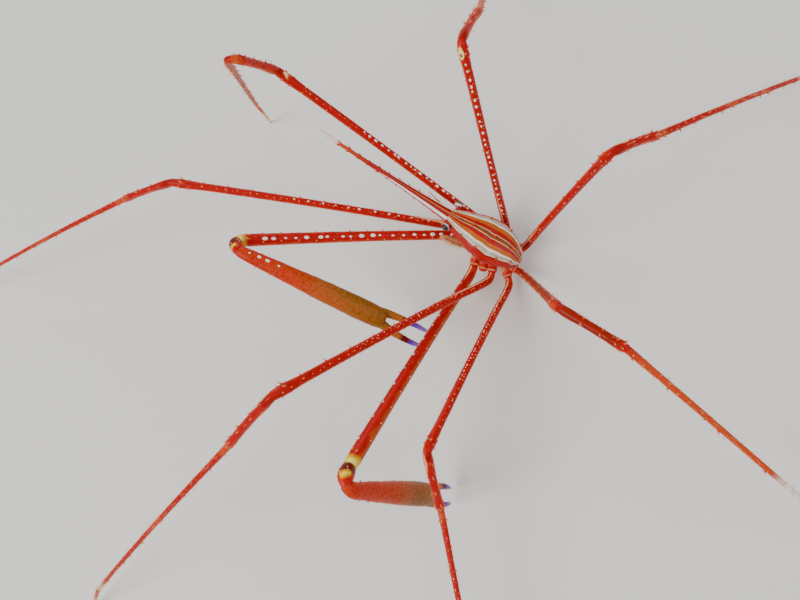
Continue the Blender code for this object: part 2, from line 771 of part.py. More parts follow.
def settle():
    """Puts the origin at the middle of the footprint, on the floor."""
    bpy.context.view_layer.update()
    corners = []
    for obj in bpy.data.objects:
        corners.extend(vertex.co for vertex in obj.data.vertices)
    middle = Vector((0, 0, 0))
    for axis in (0, 1):
        values = [corner[axis] for corner in corners]
        middle[axis] = (min(values) + max(values)) / 2
    shift = Matrix.Translation(-middle)
    for obj in bpy.data.objects:
        obj.data.transform(shift)
    print("footprint middle moved by", tuple(round(-v * 1000, 3) for v in middle), "mm")


def main():
    clear_scene()
    made = make_materials()
    build_carapace(made)
    build_rostrum(made)
    build_thorax(made)
    build_abdomen(made)
    for side_name, sign in (("left", 1), ("right", -1)):
        build_eye(made, f"eye_{side_name}", sign)
        build_antenna(made, f"antenna_{side_name}", sign)
        build_maxilliped(made, f"maxilliped_{side_name}", sign)
        build_cheliped(made, side_name)
    for limb in LEG_POSE:
        build_leg(made, limb)
    settle()


main()
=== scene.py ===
"""Dresses the arrow crab: fine limbs, spines, bristles, markings, floor, light and camera."""
import math
import random

import bpy
from mathutils import Matrix, Vector, noise


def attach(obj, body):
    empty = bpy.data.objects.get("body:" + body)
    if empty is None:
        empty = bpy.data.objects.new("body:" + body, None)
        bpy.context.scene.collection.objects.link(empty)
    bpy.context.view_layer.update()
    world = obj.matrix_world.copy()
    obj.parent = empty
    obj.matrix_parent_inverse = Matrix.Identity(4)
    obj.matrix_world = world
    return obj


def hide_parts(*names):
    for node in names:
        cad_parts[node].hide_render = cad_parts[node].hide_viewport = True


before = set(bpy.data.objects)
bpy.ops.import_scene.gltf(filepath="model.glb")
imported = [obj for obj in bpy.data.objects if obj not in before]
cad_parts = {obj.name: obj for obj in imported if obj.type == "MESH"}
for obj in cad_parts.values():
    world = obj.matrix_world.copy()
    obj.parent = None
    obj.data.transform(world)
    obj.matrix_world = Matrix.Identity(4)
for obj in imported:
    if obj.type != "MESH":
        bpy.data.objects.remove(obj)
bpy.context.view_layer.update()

MM = 0.001
GAP = 0.3 * MM
SPINE_SEED = 41
UP = Vector((0, 0, 1))
# The solids' frame has its origin at the middle of the footprint, this far from the body's foot
ORIGIN_SHIFT = Vector((-35.391, -26.335, 0.0)) * MM

# The same sizes as the solids, in the body's own frame
CARAPACE_REAR = -9.8 * MM
CARAPACE_FRONT = 8.6 * MM
CARAPACE_FLOOR = -1.3 * MM
CARAPACE_HALF_WIDTH = 5.0 * MM
CARAPACE_TOP = 3.9 * MM
ROSTRUM_LENGTH = 31.5 * MM
ROSTRUM_ROOT = 1.5 * MM
ROSTRUM_TIP = 0.28 * MM
THORAX_FLOOR = -4.7 * MM
THORAX_FRONT = 0.6 * MM
THORAX_SLOPE_FROM = -2.4 * MM
THORAX_RISE = 1.6 * MM
ABDOMEN_REAR = -8.6 * MM
ABDOMEN_LENGTH = 5.8 * MM
EYE_RADIUS = 0.8 * MM
EYE_X = 7.8 * MM
EYE_Y = 2.3 * MM
EYE_Z = 0.9 * MM
ANTENNA_LENGTH = 6.0 * MM
ANTENNA_RADIUS = 0.28 * MM
MAXILLIPED_LENGTH = 6.6 * MM
BODY_HEIGHT = 11.7 * MM
BODY_PITCH = math.radians(32.5)
BODY_ROLL = math.radians(9)
MERUS_LENGTH = 70.0 * MM
PAIR_SHARE = {1: 1.0, 2: 0.825, 3: 0.67, 4: 0.576}
CARPUS_SHARE = 0.29
PROPODUS_SHARE = 1.1
DACTYLUS_SHARE = 0.26
DACTYLUS_BEND = math.radians(14)
MERUS_RADIUS = 0.92 * MM
CARPUS_RADIUS = 0.86 * MM
PROPODUS_RADIUS = 0.60 * MM
DACTYLUS_RADIUS = 0.44 * MM
MERUS_BOW = 0.012
PROPODUS_BOW = 0.010
HIP = {
    ("left", 0): (-2.3, 4.4, -4.9),
    ("left", 1): (-4.4, 4.5, -4.3),
    ("left", 2): (-6.2, 4.1, -3.4),
    ("left", 3): (-9.8, 3.0, -3.4),
    ("left", 4): (-10.4, 0.9, -2.6),
    ("right", 0): (0.2, -1.9, -5.6),
    ("right", 1): (-0.9, -4.1, -8.0),
    ("right", 2): (-3.9, -4.6, -6.0),
    ("right", 3): (-5.4, -5.3, -4.2),
    ("right", 4): (-9.4, -3.6, -3.2),
}
COXA_ROOT_X = {0: -0.8 * MM, 1: -2.8 * MM, 2: -4.8 * MM, 3: -7.2 * MM, 4: -8.4 * MM}
COXA_ROOT_Y = 0.8 * MM
COXA_ROOT_Z = -3.0 * MM
COXA_RADIUS = 1.05 * MM
ISCHIUM_LENGTH = 2.6 * MM
LEG_POSE = {
    ("left", 2): ((81.4, 42.5), (60.2, -28.9), 62),
    ("left", 3): ((107, 30.9), (119.8, -46.9), 131),
    ("left", 4): ((152.1, 55.5), (176.3, -8), 172.2),
    ("right", 1): ((25, 24.9), (26.8, -17), 37.2),
    ("right", 2): ((1.2, 49.1), (118.8, 61.5), -14.8),
    ("right", 3): ((-62, 70.1), (-66.1, -29.7), -53.2),
    ("right", 4): ((-147.4, 60), (-111, -34.9), -110.8),
}
CHELIPED_MERUS = {"left": 54.0 * MM, "right": 52.0 * MM}
CHELIPED_CARPUS = {"left": 6.0 * MM, "right": 5.0 * MM}
PALM_LENGTH = {"left": 24.9 * MM, "right": 30.4 * MM}
FINGER_LENGTH = {"left": 9.5 * MM, "right": 10.5 * MM}
CHELIPED_RADIUS = 1.2 * MM
ELBOW_ROUND = 1.07 * MM
FINGER_RADIUS = 0.74 * MM
FINGER_GAPE = 1.45 * MM
FINGER_BOW = 0.5 * MM
PALM_HALF_DEPTH = 2.3 * MM
PALM_FLATNESS = 0.84
CHELIPED_POSE = {
    "right": ((41.4, 31.7), (164.2, 20.7), (-172.6, -31.5)),
    "left": ((103.5, 30.4), (134.4, 50.3), (-146.5, -78.6)),
}
LEG_SPINE = (0.75 * MM, 0.17 * MM)
KNEE_SPINE = (1.3 * MM, 0.24 * MM)
HAND_SPINE = (0.6 * MM, 0.20 * MM)
BACK_SPINE = (0.8 * MM, 0.26 * MM)
ROSTRUM_SPINE = (0.7 * MM, 0.17 * MM)
BEND_SHARE = 1.35
LEAST_TURN = 0.5 * MM
MERUS_SHAPE = [(0, 0.84), (0.03, 0.98), (0.10, 0.95), (0.5, 0.88), (0.9, 0.92), (0.965, 1.12), (1, 0.98)]
CARPUS_SHAPE = [(0, 1.0), (0.12, 1.1), (0.4, 0.92), (0.75, 0.95), (0.9, 1.05), (1, 0.92)]
PROPODUS_SHAPE = [(0, 1.15), (0.06, 1.1), (0.15, 0.98), (0.6, 0.84), (0.94, 0.78), (1, 0.80)]
DACTYLUS_SHAPE = [(0, 1.05), (0.3, 0.94), (0.7, 0.80), (1, 0.60)]
ARM_SHAPE = [(0, 0.78), (0.05, 0.86), (0.3, 0.88), (0.7, 0.97), (0.96, 1.08), (1, 0.98)]
PALM_SHAPE = [(0, 0.54), (0.08, 0.62), (0.3, 0.76), (0.6, 0.94), (0.84, 1.0), (0.95, 0.96), (1, 0.86)]
WRIST_SHAPE = [(0, 0.98), (0.3, 1.16), (0.7, 1.14), (1, 0.9)]

# What the dressing adds. A step is the distance between two rings of a tube
SIDES = (("left", 1), ("right", -1))
ALL_ROUND = (0, 360)
RING_STEP = 0.55 * MM
FINE_STEP = 0.3 * MM
LIMB_SIDES = 20
ARM_SIDES = 26
PALM_SIDES = 34
# The skin of a limb: how far it swells, how finely, how square it is and how far its ends rise
SKIN_ROUGHNESS = 0.035
SKIN_GRAIN_PER_M = 1400
SKIN_SQUARE = 0.02
LOW_DOME = 0.45
# The shell's edge lies at a share of its height. Two powers shape its side and its arch
EDGE_SHARE = 0.35
EDGE_SQUARE = 0.85
SHELL_ARCH = 0.9
SHELL_GRAINS = 260
BRISTLE_LEAN = 0.8
SPINE_SPREAD = 9
SPINE_SUNK = 0.12
PALM_DOT_RADIUS = 0.24 * MM
ARM_DOT_RADIUS = 0.30 * MM
FINE_DOT_RADIUS = 0.085 * MM
GRAIN_RADIUS = 0.09 * MM
TOOTH_RADIUS = 0.13 * MM
DOT_SIDES = 10
DOT_STRETCH = 1.55
# The rows of pale dots lie on the side of a limb that faces up and a little back
DOT_WAY = Vector((-0.45, 0.09, 0.89))
# Rows of large pale dots on the thighs: how many, from and to, degrees beside DOT_WAY, radius
DOT_ROWS = {
    ("right", 1): (13, (0.10, 0.62), 18, 0.18 * MM),
    ("right", 2): (25, (0.05, 0.66), 18, 0.22 * MM),
    ("right", 3): (27, (0.14, 0.96), -24, 0.18 * MM),
    ("left", 2): (26, (0.08, 0.70), 34, 0.07 * MM),
    ("left", 3): (30, (0.10, 0.66), 32, 0.10 * MM),
    ("left", 4): (9, (0.1, 0.8), 0, 0.14 * MM),
}
# Small spines and bristles, as length and radius
ROSTRUM_SMALL = (0.34 * MM, 0.075 * MM)
EDGE_SMALL = (0.32 * MM, 0.09 * MM)
COXA_SMALL = (0.4 * MM, 0.13 * MM)
THIGH_SMALL = (0.34 * MM, 0.09 * MM)
THIGH_END = (0.6 * MM, 0.15 * MM)
KNEE_SMALL = (0.32 * MM, 0.09 * MM)
KNEE_END = (0.7 * MM, 0.14 * MM)
SHIN_SMALL = (0.36 * MM, 0.085 * MM)
SHIN_LONG = (0.8 * MM, 0.11 * MM)
ARM_SMALL = (0.34 * MM, 0.10 * MM)
WRIST_SMALL = (0.3 * MM, 0.10 * MM)
PALM_SMALL = (0.22 * MM, 0.085 * MM)
FEELER_BRISTLE = (0.7 * MM, 0.022 * MM)
JAW_BRISTLE = (0.9 * MM, 0.03 * MM)
LEG_BRISTLE = (0.8 * MM, 0.03 * MM)
KNEE_BRISTLE = (1.0 * MM, 0.035 * MM)
SHIN_BRISTLE = (1.2 * MM, 0.035 * MM)
ARM_BRISTLE = (0.7 * MM, 0.03 * MM)
PALM_BRISTLE = (0.5 * MM, 0.025 * MM)
FINGER_BRISTLE = (0.6 * MM, 0.025 * MM)
PALM_SPINE = (0.7 * HAND_SPINE[0], HAND_SPINE[1])
# How much thicker the rostrum is towards its tip, and the trunk's width as a share of the shell's
ROSTRUM_THICKER = 0.10 * MM
TRUNK_SHARE = 0.74

# Tones of the vertex attribute that tells the materials what a point is. A spine's tone rises
# from 1 at its root to 2 at its tip, and PALE_DOT has the colour of a spine's tip
SHELL, SPINE, PALE_DOT, DOT, BRISTLE_TONE, FINGER_TONE = 0.0, 1.0, 2.0, 3.0, 4.0, 5.2


def heading(turn, rise):
    a = math.radians(turn)
    b = math.radians(rise)
    return Vector((math.cos(b) * math.cos(a), math.cos(b) * math.sin(a), math.sin(b)))


def along_stops(stops, x):
    if x <= stops[0][0]:
        return stops[0][1]
    for (a, low), (b, high) in zip(stops, stops[1:]):
        if x <= b:
            t = (x - a) / (b - a)
            return low + (high - low) * t * t * (3 - 2 * t) * 0.5 + (high - low) * t * 0.5
    return stops[-1][1]


BODY = (Matrix.Translation((0, 0, BODY_HEIGHT))
        @ Matrix.Rotation(-BODY_PITCH, 4, "Y") @ Matrix.Rotation(BODY_ROLL, 4, "X"))


def on_body(x, y, z):
    return BODY @ Vector((x, y, z))


def body_way(x, y, z):
    return (BODY.to_3x3() @ Vector((x, y, z))).normalized()


class Row:
    """Picks seeded, slightly uneven values."""

    def __init__(self, seed):
        self.random = random.Random(SPINE_SEED + seed)

    def vary(self, value, share=0.25):
        return value * self.random.uniform(1 - share, 1 + share)

    def between(self, low, high):
        return self.random.uniform(low, high)


class Shape:
    """Gathers the points and faces of one piece, with what the materials read at each point."""

    def __init__(self):
        self.points = []
        self.faces = []
        self.facts = []

    def add(self, points, faces, facts):
        first = len(self.points)
        self.points.extend(points)
        self.faces.extend(tuple(first + k for k in face) for face in faces)
        self.facts.extend(facts)

    def rings(self, rings, facts):
        """Joins rings of equal size with quads and closes both ends with a fan."""
        size = len(rings[0])
        points = [p for ring in rings for p in ring]
        told = [f for ring in facts for f in ring]
        faces = []
        for i in range(len(rings) - 1):
            for k in range(size):
                a = i * size + k
                b = i * size + (k + 1) % size
                faces.append((a, b, b + size, a + size))
        for base, flip in ((0, True), ((len(rings) - 1) * size, False)):
            middle = sum((points[base + k] for k in range(size)), Vector()) / size
            points.append(middle)
            told.append(told[base])
            centre = len(points) - 1
            for k in range(size):
                a, b = base + k, base + (k + 1) % size
                faces.append((b, a, centre) if flip else (a, b, centre))
        self.add(points, faces, told)

    def piece(self, name, material, nodes):
        mesh = bpy.data.meshes.new(name)
        mesh.from_pydata([tuple(p + ORIGIN_SHIFT) for p in self.points], [], self.faces)
        along, girth, tone = zip(*self.facts)
        turns = [2 * math.pi * share for share in girth]
        layers = {"along": along, "girth": girth, "tone": tone,
                  "upward": [math.cos(turn) for turn in turns],
                  "aside": [math.sin(turn) for turn in turns]}
        for key, values in layers.items():
            layer = mesh.attributes.new(key, "FLOAT", "POINT")
            layer.data.foreach_set("value", values)
        mesh.update()
        mesh.shade_smooth()
        mesh.materials.append(material)
        obj = bpy.data.objects.new(name, mesh)
        bpy.context.scene.collection.objects.link(obj)
        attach(obj, "root")
        if nodes:
            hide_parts(*nodes)


def circle(centre, across, over, sides, radius, longer=1.0):
    """A ring of points about a centre, drawn out along its first way."""
    turns = [2 * math.pi * k / sides for k in range(sides)]
    return [centre + (across * (longer * math.cos(a)) + over * math.sin(a)) * radius for a in turns]


def frames_along(path, side):
    frames = []
    for i, point in enumerate(path):
        ahead = path[min(i + 1, len(path) - 1)] - path[max(i - 1, 0)]
        ahead.normalize()
        side = (side - ahead * side.dot(ahead)).normalized()
        frames.append((point, ahead, side, ahead.cross(side)))
    return frames


def shares_along(path):
    gone = [0.0]
    for before, after in zip(path, path[1:]):
        gone.append(gone[-1] + (after - before).length)
    return [g / gone[-1] for g in gone]


def resampled(path, step):
    """The same path as a smooth curve with points about one step apart."""
    shares = shares_along(path)
    length = sum((b - a).length for a, b in zip(path, path[1:]))
    count = max(8, round(length / step))
    out = []
    low = 0
    for i in range(count + 1):
        s = i / count
        while low < len(path) - 2 and shares[low + 1] < s:
            low += 1
        t = (s - shares[low]) / (shares[low + 1] - shares[low])
        a, b = path[low], path[low + 1]
        span = shares[low + 1] - shares[low]
        before = path[low - 1] if low > 0 else a * 2 - b
        beyond = path[low + 2] if low < len(path) - 2 else b * 2 - a
        gap_before = (shares[low] - shares[low - 1]) if low > 0 else span
        gap_beyond = (shares[low + 2] - shares[low + 1]) if low < len(path) - 2 else span
        into = ((b - a) / span + (a - before) / gap_before) * 0.5 * span
        out_of = ((beyond - b) / gap_beyond + (b - a) / span) * 0.5 * span
        t2, t3 = t * t, t * t * t
        out.append(a * (2 * t3 - 3 * t2 + 1) + into * (t3 - 2 * t2 + t)
                   + b * (3 * t2 - 2 * t3) + out_of * (t3 - t2))
    return out


def turn_at(corner, before, after, radius):
    fold = before.angle(after)
    bend = max(BEND_SHARE * radius, LEAST_TURN / (fold / 2))
    across = (after - before * math.cos(fold)).normalized()
    centre = corner - before * (bend * math.tan(fold / 2)) + across * bend
    stop = fold / 2 - GAP / 2 / bend

    def on_arc(angle):
        return centre - across * (bend * math.cos(angle)) + before * (bend * math.sin(angle))

    ending = [on_arc(stop * share) for share in (0.0, 0.35, 0.7, 1.0)]
    starting = [on_arc(fold - stop * share) for share in (1.0, 0.7, 0.35, 0.0)]
    return ending, starting, (before + after).normalized()


def between(first, last, bow, count):
    out = []
    for i in range(1, count + 1):
        t = i / (count + 1)
        out.append(first.lerp(last, t) + UP * (bow * 4 * t * (1 - t)))
    return out


def hip(limb):
    return on_body(*(MM * place for place in HIP[limb]))


def coxa_root(limb):
    side_name, pair = limb
    side = 1 if side_name == "left" else -1
    return on_body(COXA_ROOT_X[pair], side * COXA_ROOT_Y, COXA_ROOT_Z)


def coxa_way(limb):
    return (hip(limb) - coxa_root(limb)).normalized()


def hip_turn(start, out, way):
    corner = start + out * (0.5 * ISCHIUM_LENGTH)
    last = corner + way * (0.5 * ISCHIUM_LENGTH)
    points = []
    for share in (0.0, 0.25, 0.5, 0.75, 1.0):
        points.append(start * (1 - share) ** 2 + corner * (2 * share * (1 - share))
                      + last * share ** 2)
    return points


def drop_to_floor(height, propodus, dactylus):
    low = 0.0
    high = math.radians(75)
    for _ in range(40):
        drop = (low + high) / 2
        reach = propodus * math.sin(drop) + dactylus * math.sin(drop + DACTYLUS_BEND)
        low, high = (low, drop) if reach > height else (drop, high)
    return drop


def leg_points(limb):
    merus_turn, carpus_turn, propodus_turn = LEG_POSE[limb]
    merus = MERUS_LENGTH * PAIR_SHARE[limb[1]]
    ways = [heading(*merus_turn), heading(*carpus_turn)]
    start = hip(limb) + coxa_way(limb) * GAP
    knee = start + ways[0] * merus
    wrist = knee + ways[1] * (merus * CARPUS_SHARE)
    propodus = merus * PROPODUS_SHARE
    dactylus = merus * DACTYLUS_SHARE
    drop = math.degrees(drop_to_floor(wrist.z, propodus, dactylus))
    ways.append(heading(propodus_turn, -drop))
    ways.append(heading(propodus_turn, -drop - math.degrees(DACTYLUS_BEND)))
    heel = wrist + ways[2] * propodus
    claw = heel + ways[3] * dactylus
    claw.z = 0.0
    return [start, knee, wrist, heel, claw], ways


def grow_tube(shape, path, profile, radius, planes, side=UP, flat=1.0, domes=(LOW_DOME, LOW_DOME),
              rough=SKIN_ROUGHNESS, step=RING_STEP, sides=LIMB_SIDES, faced=False):
    """One length of a limb: a fine, slightly uneven tube with rounded ends. Returns what spines
    are set by: frames, radii and shares along it. The turn that the paint reads starts at the
    tube's side, or where it is faced at DOT_WAY."""
    fine = resampled(path, step)
    frames = frames_along(fine, side)
    shares = shares_along(fine)
    last = len(fine) - 1
    start_turn = turn_towards((frames,), DOT_WAY) / 360 if faced else 0.0
    rings = []
    facts = []
    radii = []
    for i, (centre, ahead, across, over) in enumerate(frames):
        size = radius * along_stops(profile, shares[i])
        radii.append((size, size * flat))
        ring = []
        told = []
        for k in range(sides):
            a = 2 * math.pi * k / sides
            way = across * math.cos(a) + over * (flat * math.sin(a))
            place = centre + way * size
            swell = 1 + rough * noise.noise(place * SKIN_GRAIN_PER_M) - SKIN_SQUARE * math.cos(4 * a)
            point = centre + way * (size * swell)
            plane = planes[0] if i == 0 else planes[1] if i == last else None
            if plane:
                point = point + ahead * ((centre - point).dot(plane) / ahead.dot(plane))
            ring.append(point)
            told.append((shares[i], (k / sides - start_turn) % 1.0, SHELL))
        rings.append(ring)
        facts.append(told)
    for end, dome in ((0, domes[0]), (last, domes[1])):
        if not dome:
            continue
        centre = fine[end]
        out = frames[end][1] * (radii[end][0] * dome * (1 if end else -1))
        edge = list(rings[-1] if end else rings[0])
        told = list(facts[-1] if end else facts[0])
        for turn in (0.45, 0.9, 1.25):
            ring = [centre + (p - centre) * math.cos(turn) + out * math.sin(turn) for p in edge]
            rings.insert(len(rings) if end else 0, ring)
            facts.insert(len(facts) if end else 0, told)
    shape.rings(rings, facts)
    return frames, radii, shares


def grow_spine(shape, root, out, length, radius, along, sides=6, curl=0.0, tone=SPINE):
    """A tapered spine with a flared root, sunk in the surface."""
    across = out.orthogonal().normalized()
    over = out.cross(across)
    rings = []
    facts = []
    for share, size in ((-0.25, 1.55), (0.02, 1.35), (0.22, 0.86), (0.55, 0.58), (0.85, 0.26),
                        (0.98, 0.06)):
        centre = root + out * (length * share) + across * (curl * length * max(0, share) ** 2)
        rings.append(circle(centre, across, over, sides, radius * size))
        facts.append([(along, 0.0, tone + max(0.0, min(1.0, share)))] * sides)
    shape.rings(rings, facts)


def grow_dot(shape, root, out, radius, along, tone=DOT, girth=0.0, ahead=None):
    """A low, rounded tubercle, drawn out along the limb where it is told which way that runs."""
    across = (ahead - out * ahead.dot(out)).normalized() if ahead else out.orthogonal().normalized()
    over = out.cross(across)
    longer = DOT_STRETCH if ahead else 1.0
    rings = []
    for height, size in ((-0.5, 1.0), (0.10, 0.96), (0.30, 0.74), (0.42, 0.36)):
        centre = root + out * (radius * height)
        rings.append(circle(centre, across, over, DOT_SIDES, radius * size, longer))
    shape.rings(rings, [[(along, girth, tone)] * DOT_SIDES] * len(rings))


def on_tube(made, place, turn):
    """The point of a tube's surface at a share of its length and a turn round it in degrees."""
    frames, radii, shares = made
    low = 0
    while low < len(shares) - 2 and shares[low + 1] < place:
        low += 1
    blend = (place - shares[low]) / (shares[low + 1] - shares[low])
    centre = frames[low][0].lerp(frames[low + 1][0], blend)
    ahead, across, over = frames[low][1:]
    wide = radii[low][0] + (radii[low + 1][0] - radii[low][0]) * blend
    deep = radii[low][1] + (radii[low + 1][1] - radii[low][1]) * blend
    a = math.radians(turn)
    out = across * math.cos(a) + over * math.sin(a)
    root = centre + across * (wide * math.cos(a)) + over * (deep * math.sin(a))
    return root, out, ahead, deep


def spaced(first, reach, steps, whole=True):
    """Even shares of a length. The far end is left out where it isn't whole."""
    return [first + reach * i / steps for i in range(steps + 1 if whole else steps)]


def set_spines(shape, made, places, turns, size, row, lean=0.35):
    length, radius = size
    for place in places:
        for turn in turns:
            turned = turn + row.between(-SPINE_SPREAD, SPINE_SPREAD)
            root, out, ahead, deep = on_tube(made, place, turned)
            aim = (out + ahead * lean).normalized()
            grow_spine(shape, root - out * (SPINE_SUNK * deep), aim, row.vary(length),
                       row.vary(radius, 0.15), place)


def turn_towards(made, way):
    """The turn round a tube, in degrees, at which its middle faces a way."""
    across, over = made[0][len(made[0]) // 2][2:]
    return math.degrees(math.atan2(over.dot(way), across.dot(way)))


def set_dots(shape, made, count, span, turn, row, radius, spread, tone=DOT):
    for i in range(count):
        place = span[0] + (span[1] - span[0]) * (i + row.between(-0.25, 0.25)) / max(1, count - 1)
        place = min(max(place, 0.01), 0.99)
        root, out, ahead, _ = on_tube(made, place, turn + row.between(-spread, spread))
        grow_dot(shape, root, out, row.vary(radius, 0.35), place, tone, ahead=ahead)


def set_bristles(shape, made, count, span, row, size, turns=ALL_ROUND):
    for _ in range(count):
        place = row.between(*span)
        turn = turns[0] + row.between(0, turns[1] - turns[0])
        root, out, ahead, _ = on_tube(made, place, turn)
        aim = (out + ahead * row.vary(BRISTLE_LEAN)).normalized()
        grow_spine(shape, root, aim, row.vary(size[0], 0.4), size[1], place, sides=4,
                   curl=row.between(-0.3, 0.3), tone=BRISTLE_TONE)


def rgb(r, g, b):
    """A colour given as it looks on a screen, 0 to 255, as the linear value that a shader takes."""
    def linear(v):
        v = v / 255
        return v / 12.92 if v <= 0.04045 else ((v + 0.055) / 1.055) ** 2.4
    return (linear(r), linear(g), linear(b), 1.0)


RED = rgb(184, 6, 0)
DEEP_RED = rgb(100, 2, 0)
ORANGE = rgb(208, 50, 4)
LIGHT_ORANGE = rgb(228, 104, 34)
CREAM = rgb(248, 222, 164)
WHITE = rgb(248, 244, 232)
PALE_TIP = rgb(255, 232, 214)
GOLD = rgb(204, 106, 10)
BROWN_GOLD = rgb(150, 72, 12)
DARK_LINE = rgb(70, 10, 2)
YELLOW = rgb(255, 220, 6)
PALE_YELLOW = rgb(252, 246, 150)
FLESH = rgb(222, 158, 104)
PALE_SPINE = rgb(238, 160, 108)
TAN = rgb(172, 92, 30)
OLIVE = rgb(140, 90, 20)
DULL_ORANGE = rgb(186, 70, 16)
VIOLET = rgb(96, 44, 176)
PALE_VIOLET = rgb(150, 104, 214)
DARK_BROWN = rgb(44, 14, 8)
BROWN_RED = rgb(104, 36, 10)
BLUE_GREY = rgb(190, 178, 166)
EYE_GREY = rgb(214, 214, 204)
EYE_PALE = rgb(232, 232, 224)
EYE_DARK = rgb(36, 14, 10)
EYE_FACET = rgb(96, 70, 56)
FLOOR_DULL = rgb(226, 224, 219)
FLOOR_PALE = rgb(233, 231, 227)
# How strong the shell's dark streaks are, as a grey
STREAK_STRONG, STREAK_HALF, STREAK_FAINT = [(level, level, level, 1.0) for level in (0.60, 0.35, 0.10)]

SCATTER_RADIUS = (0.6 * MM, 0.25 * MM, 0.12 * MM)
COAT_ROUGHNESS = 0.18
SPECULAR_LEVEL = 0.14
NOISE_ROUGHNESS = 0.55
BUMP_DEPTH = 0.08 * MM
PALM_CELLS = 2300


class Paint:
    """Builds one procedural material, node by node. Scales are in cells per metre."""

    def __init__(self, name, roughness=0.40, coat=0.05, subsurface=0.02):
        self.material = bpy.data.materials.new(name)
        self.material.use_nodes = True
        self.tree = self.material.node_tree
        self.shader = self.tree.nodes["Principled BSDF"]
        self.shader.inputs["Roughness"].default_value = roughness
        self.shader.inputs["Coat Weight"].default_value = coat
        self.shader.inputs["Coat Roughness"].default_value = COAT_ROUGHNESS
        self.shader.inputs["Specular IOR Level"].default_value = SPECULAR_LEVEL
        self.shader.inputs["Subsurface Weight"].default_value = subsurface
        self.shader.inputs["Subsurface Radius"].default_value = SCATTER_RADIUS
        self.shader.inputs["Subsurface Scale"].default_value = 1.0

    def node(self, kind, **values):
        made = self.tree.nodes.new(kind)
        for key, value in values.items():
            setattr(made, key, value)
        return made

    def feed(self, socket, value):
        if isinstance(value, bpy.types.NodeSocket):
            self.tree.links.new(value, socket)
        else:
            socket.default_value = value

    def fact(self, name):
        return self.node("ShaderNodeAttribute", attribute_name=name).outputs["Fac"]

    def turn(self):
        """The turn round a limb, 0 to 1 from its top, without a seam where it closes."""
        angle = self.maths("ARCTAN2", self.fact("aside"), self.fact("upward"))
        return self.maths("FRACT", self.plus(self.maths("DIVIDE", angle, 2 * math.pi), 1.0))

    def near_turn(self, turn, middle):
        """How far a turn lies from a middle one, 0 to 0.5, either way round."""
        moved = self.maths("FRACT", self.plus(turn, 1.5 - middle))
        return self.maths("ABSOLUTE", self.minus(moved, 0.5))

    def maths(self, operation, a, b=0.0):
        made = self.node("ShaderNodeMath", operation=operation)
        self.feed(made.inputs[0], a)
        self.feed(made.inputs[1], b)
        return made.outputs[0]

    def times(self, a, b):
        return self.maths("MULTIPLY", a, b)

    def plus(self, a, b):
        return self.maths("ADD", a, b)

    def minus(self, a, b):
        return self.maths("SUBTRACT", a, b)

    def texture(self, kind, output, **values):
        made = self.node(kind)
        self.feed(made.inputs["Vector"], self.node("ShaderNodeTexCoord").outputs["Object"])
        for key, value in values.items():
            made.inputs[key].default_value = value
        return made.outputs[output]

    def noise(self, scale, detail=3.0):
        return self.texture("ShaderNodeTexNoise", "Fac", Scale=scale, Detail=detail,
                            Roughness=NOISE_ROUGHNESS)

    def cells(self, scale):
        return self.texture("ShaderNodeTexVoronoi", "Distance", Scale=scale)

    def sway(self, scale, share):
        """Noise round 0, as far as half a share to either side."""
        return self.times(self.minus(self.noise(scale), 0.5), share)

    def ramp(self, value, stops):
        made = self.node("ShaderNodeValToRGB")
        made.color_ramp.interpolation = "LINEAR"
        parts = made.color_ramp.elements
        parts[0].position, parts[0].color = stops[0]
        parts[1].position, parts[1].color = stops[-1]
        for place, colour in stops[1:-1]:
            parts.new(place).color = colour
        self.feed(made.inputs["Fac"], value)
        return made.outputs["Color"]

    def level(self, value, stops):
        """How light a ramp's colour is, as a share."""
        made = self.node("ShaderNodeRGBToBW")
        self.feed(made.inputs[0], self.ramp(value, stops))
        return made.outputs[0]

    def mask(self, value, low, high):
        """0 below low, 1 above high."""
        made = self.node("ShaderNodeMapRange", clamp=True)
        self.feed(made.inputs["Value"], value)
        made.inputs["From Min"].default_value = low
        made.inputs["From Max"].default_value = high
        return made.outputs["Result"]

    def below(self, value, low, high):
        """1 below low, 0 above high."""
        return self.minus(1.0, self.mask(value, low, high))

    def window(self, value, rise, fall):
        """1 between a rise and a fall, each given as where it starts and ends."""
        return self.times(self.mask(value, *rise), self.below(value, *fall))

    def mix(self, a, b, share):
        made = self.node("ShaderNodeMix", data_type="RGBA")
        self.feed(made.inputs["Factor"], share)
        self.feed(made.inputs["A"], a)
        self.feed(made.inputs["B"], b)
        return made.outputs["Result"]

    def bump(self, height, strength):
        made = self.node("ShaderNodeBump")
        made.inputs["Strength"].default_value = strength
        made.inputs["Distance"].default_value = BUMP_DEPTH
        self.feed(made.inputs["Height"], height)
        self.feed(self.shader.inputs["Normal"], made.outputs["Normal"])

    def finish(self, colour):
        self.feed(self.shader.inputs["Base Color"], colour)
        return self.material

    def with_growths(self, colour, spine_root, spine_tip):
        """Puts the colours of spines, dots and bristles over the shell's own."""
        tone = self.fact("tone")
        spine = self.ramp(self.minus(tone, SPINE), [(0.0, spine_root), (0.25, spine_root),
                                                    (0.6, spine_tip), (1.0, spine_tip)])
        colour = self.mix(colour, spine, self.mask(tone, 0.85, 0.95))
        colour = self.mix(colour, WHITE, self.mask(tone, 2.4, 2.6))
        return self.mix(colour, PALE_SPINE, self.mask(tone, 3.5, 3.6))


